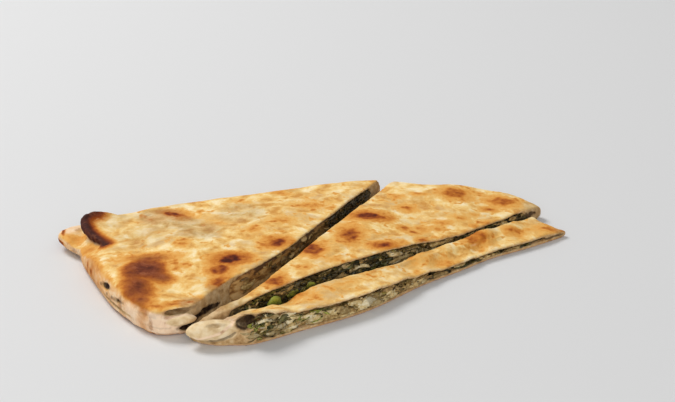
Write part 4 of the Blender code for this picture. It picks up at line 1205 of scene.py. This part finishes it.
class Shader:
    """A node tree built step by step. Colours are given as they show on a screen."""

    def __init__(self, name):
        self.material = bpy.data.materials.new(name)
        self.material.use_nodes = True
        self.nodes = self.material.node_tree.nodes
        self.surface = self.nodes["Principled BSDF"]
        self.place = self.nodes.new("ShaderNodeTexCoord").outputs["Object"]

    def plug(self, node, sockets):
        """Links values to a node's sockets, or sets them there."""
        for socket, value in sockets.items():
            if isinstance(value, bpy.types.NodeSocket):
                self.material.node_tree.links.new(value, node.inputs[socket])
            elif value is not None:
                node.inputs[socket].default_value = srgb(*value) if isinstance(value, tuple) else value

    def add(self, kind, output, sockets, **settings):
        node = self.nodes.new("ShaderNode" + kind)
        for name, value in settings.items():
            setattr(node, name, value)
        self.plug(node, sockets)
        return node.outputs[output]

    def set(self, **inputs):
        self.plug(self.surface, {name.replace("_", " "): value for name, value in inputs.items()})

    def attribute(self, name):
        return self.add("Attribute", "Fac", {}, attribute_name=name)

    def noise(self, span_mm, detail=3.0, rough=0.55, distortion=0.0, place=None):
        return self.add("TexNoise", "Fac", {"Vector": place or self.place, "Scale": 1 / (span_mm * MM),
                                            "Detail": detail, "Roughness": rough, "Distortion": distortion})

    def lengthened(self, times):
        """The place, for patterns that lie level and are some times longer than they are high."""
        place = self.add("Mapping", "Vector", {"Vector": self.place})
        place.node.inputs["Scale"].default_value = (1 / times, 1 / times, 1.0)
        return place

    def math(self, operation, a, b):
        return self.add("Math", 0, {0: a, 1: b}, operation=operation)

    def remap(self, value, low, high, to_low=0.0, to_high=1.0):
        return self.add("MapRange", "Result", {"Value": value, "From Min": low, "From Max": high,
                                               "To Min": to_low, "To Max": to_high},
                        interpolation_type="SMOOTHSTEP")

    def patches(self, span_mm, detail, rough, distortion, low, high, to_low, to_high, place=None):
        return self.remap(self.noise(span_mm, detail, rough, distortion, place), low, high, to_low, to_high)

    def ramp(self, value, stops):
        colour = self.add("ValToRGB", "Color", {"Fac": value})
        elements = colour.node.color_ramp.elements
        while len(elements) < len(stops):
            elements.new(0.5)
        for element, (at, *shown) in zip(elements, stops):
            element.position = at
            element.color = srgb(*shown)
        return colour

    def mottled(self, pattern):
        noise, stops = pattern
        return self.ramp(self.noise(*noise), stops)

    def mix(self, share, a, b):
        return self.add("Mix", 2, {0: share, 6: a, 7: b}, data_type="RGBA")

    def soaked(self, colour):
        """A colour with soaked, darker and browner places some millimetres wide."""
        return self.mix(self.patches(*SOAKS), colour, SOAKED)

    def grain(self, *layers):
        """Bumps, the finest first: span in mm, depth in mm, strength."""
        normal = None
        for span_mm, depth_mm, strength in layers:
            normal = self.add("Bump", "Normal", {"Distance": depth_mm * MM, "Strength": strength,
                                                 "Height": self.noise(span_mm), "Normal": normal})
        self.set(Normal=normal)


def crust_material():
    s = Shader("griddled_dough")
    toast, char, burn, skin, wall, pale, hollow, dull, plain, height = (s.attribute(name) for name in (
        "toast", "char", "burn", "skin", "wall", "pale", "hollow", "dull", "plain", "height"))
    base = s.mix(s.patches(*FLOURY), s.mottled(CRUST), FLOUR)
    base = s.mix(s.patches(*TANNED), base, TAN)
    freckled = s.math("SUBTRACT", 1.0, s.math("MAXIMUM", wall, plain))
    freckles = s.math("MULTIPLY", s.patches(*FRECKLES), freckled)
    freckles = s.math("MULTIPLY", freckles, s.remap(toast, *FRECKLES_GONE))
    amount = s.math("ADD", s.math("ADD", toast, s.patches(*SPECKLE)), freckles)
    toasted = s.mix(s.remap(amount, *TOASTED_FROM), base, s.ramp(amount, BROWNED))
    toasted = s.mix(burn, toasted, s.mottled(SCORCHED))
    raw = s.mix(s.math("MULTIPLY", pale, WHITE_SHARE), s.mottled(RAW), WHITE_DOUGH)
    raw = s.mix(s.remap(height, *FOOT_SHARE), raw, s.mix(s.noise(FOOT_MOTTLE), *FOOT))
    raw = s.mix(s.patches(*FOLDS), raw, FOLD)
    raw = s.mix(s.remap(toast, *RAW_TOASTED_FROM), raw, toasted)
    outside = s.mix(s.math("MAXIMUM", wall, pale), toasted, raw)
    outside = s.mix(char, outside, s.mottled(BURNT))
    inside = s.mix(pale, s.mottled(TORN), s.mottled(GATHERED))
    # Painted shade: greyish browns where the slice has places of shade, less where it is toasted.
    dulled = s.math("MULTIPLY", dull, s.remap(amount, *PAINTED_SHADE_GONE))
    colour = s.mix(dulled, s.mix(skin, inside, outside), s.mix(s.patches(*SHADE_GREYS), *SHADE_BROWNS))
    # Painted shade in hollows, grooves and gaps: dark browns to near black, in patches.
    colour = s.mix(s.math("MULTIPLY", hollow, s.patches(*HOLLOW_SHADE_PATCHES)), colour, s.mix(s.noise(HOLLOW_SHADE_MOTTLE), *HOLLOW_SHADE_BROWNS))
    s.set(Base_Color=colour, Roughness=0.75, Specular_IOR_Level=0.14)
    s.grain((0.8, 0.2, 0.6), (3.0, 0.5, 0.5))
    return s.material


def leaf_material():
    s = Shader("spinach")
    tone = s.math("ADD", s.attribute("tone"), s.patches(*LEAF_TONES))
    colour = s.mix(s.attribute("brown"), s.ramp(tone, GREEN_LEAF), s.ramp(tone, BROWN_LEAF))
    s.set(Base_Color=s.soaked(colour), Roughness=0.42)
    s.grain((0.7, 0.15, 0.6))
    return s.material


def cheese_material():
    s = Shader("white_cheese")
    tone = s.math("ADD", s.attribute("tone"), s.patches(*CHEESE_TONES))
    s.set(Base_Color=s.soaked(s.ramp(tone, CHEESE)), Roughness=0.55)
    s.grain((0.5, 0.15, 0.7))
    return s.material


def core_material():
    s = Shader("packed_filling")
    # Painted shade under the crust: the core darkens towards its top, broken by level streaks.
    shade = s.math("ADD", s.attribute("level"), s.patches(*STREAKS, s.lengthened(STREAK_LENGTH)))
    colour = s.mix(s.attribute("light"), s.mottled(DARK_CORE), s.ramp(shade, SHADED_LIGHT_CORE))
    s.set(Base_Color=s.mix(s.attribute("hollow"), colour, CORE_SHADE), Roughness=0.6)
    s.grain((0.8, 0.3, 0.8))
    return s.material


# Stage ---------------

PHOTO_WIDTH, FOCAL_PIXELS, SENSOR_WIDTH = 675, 2082.0, 36.0
CAMERA_PITCH, CAMERA_PLACE = 23.02, (0.0106, -0.8193, 0.381)
FLOOR_REACH, FLOOR_DROP = 3000, 0.05
KEY_LIGHT = ("key", (-0.9, 0.8, 1.4), 0.8, 21.5)        # place, width and power
FILL_LIGHT = ("fill", (0.1, -1.6, 0.75), 1.6, 12)
SKY = 0.38


def add_camera():
    data = bpy.data.cameras.new("camera")
    data.sensor_width = SENSOR_WIDTH
    data.lens = FOCAL_PIXELS / PHOTO_WIDTH * SENSOR_WIDTH
    data.clip_start = 0.01
    camera = linked("camera", data)
    camera.location = CAMERA_PLACE
    camera.rotation_euler = (math.radians(90 - CAMERA_PITCH), 0, 0)
    bpy.context.scene.camera = camera


def add_floor():
    corners = np.array([(-1, -1), (1, -1), (1, 1), (-1, 1)]) * FLOOR_REACH
    corners = np.column_stack((corners, np.full(4, -FLOOR_DROP)))
    floor = new_object("floor", corners + PLAN_CENTRE, [(0, 1, 2, 3)])
    s = Shader("floor_paint")
    s.set(Base_Color=FLOOR_GREY, Roughness=0.6)
    floor.data.materials.append(s.material)


def add_light(name, place, size, power):
    """A round soft light that shines on the middle of the food."""
    data = bpy.data.lights.new(name, "AREA")
    data.shape = "DISK"
    data.size = size
    data.energy = power
    light = linked(name, data)
    light.location = place
    light.rotation_euler = (-Vector(place)).to_track_quat("-Z", "Y").to_euler()


def add_sky():
    world = bpy.data.worlds.new("studio")
    world.use_nodes = True
    sky = world.node_tree.nodes["Background"].inputs
    sky["Color"].default_value = (1, 1, 1, 1)
    sky["Strength"].default_value = SKY
    bpy.context.scene.world = world
    bpy.context.scene.view_settings.view_transform = "Standard"


# Build ---------------

def build():
    add_camera()
    add_floor()
    add_light(*KEY_LIGHT)
    add_light(*FILL_LIGHT)
    add_sky()
    crust = crust_material()
    filling = (core_material(), leaf_material(), cheese_material())
    for slice_ in SLICES:
        dress_dough(slice_, crust)
        add_filling(slice_, filling)


build()
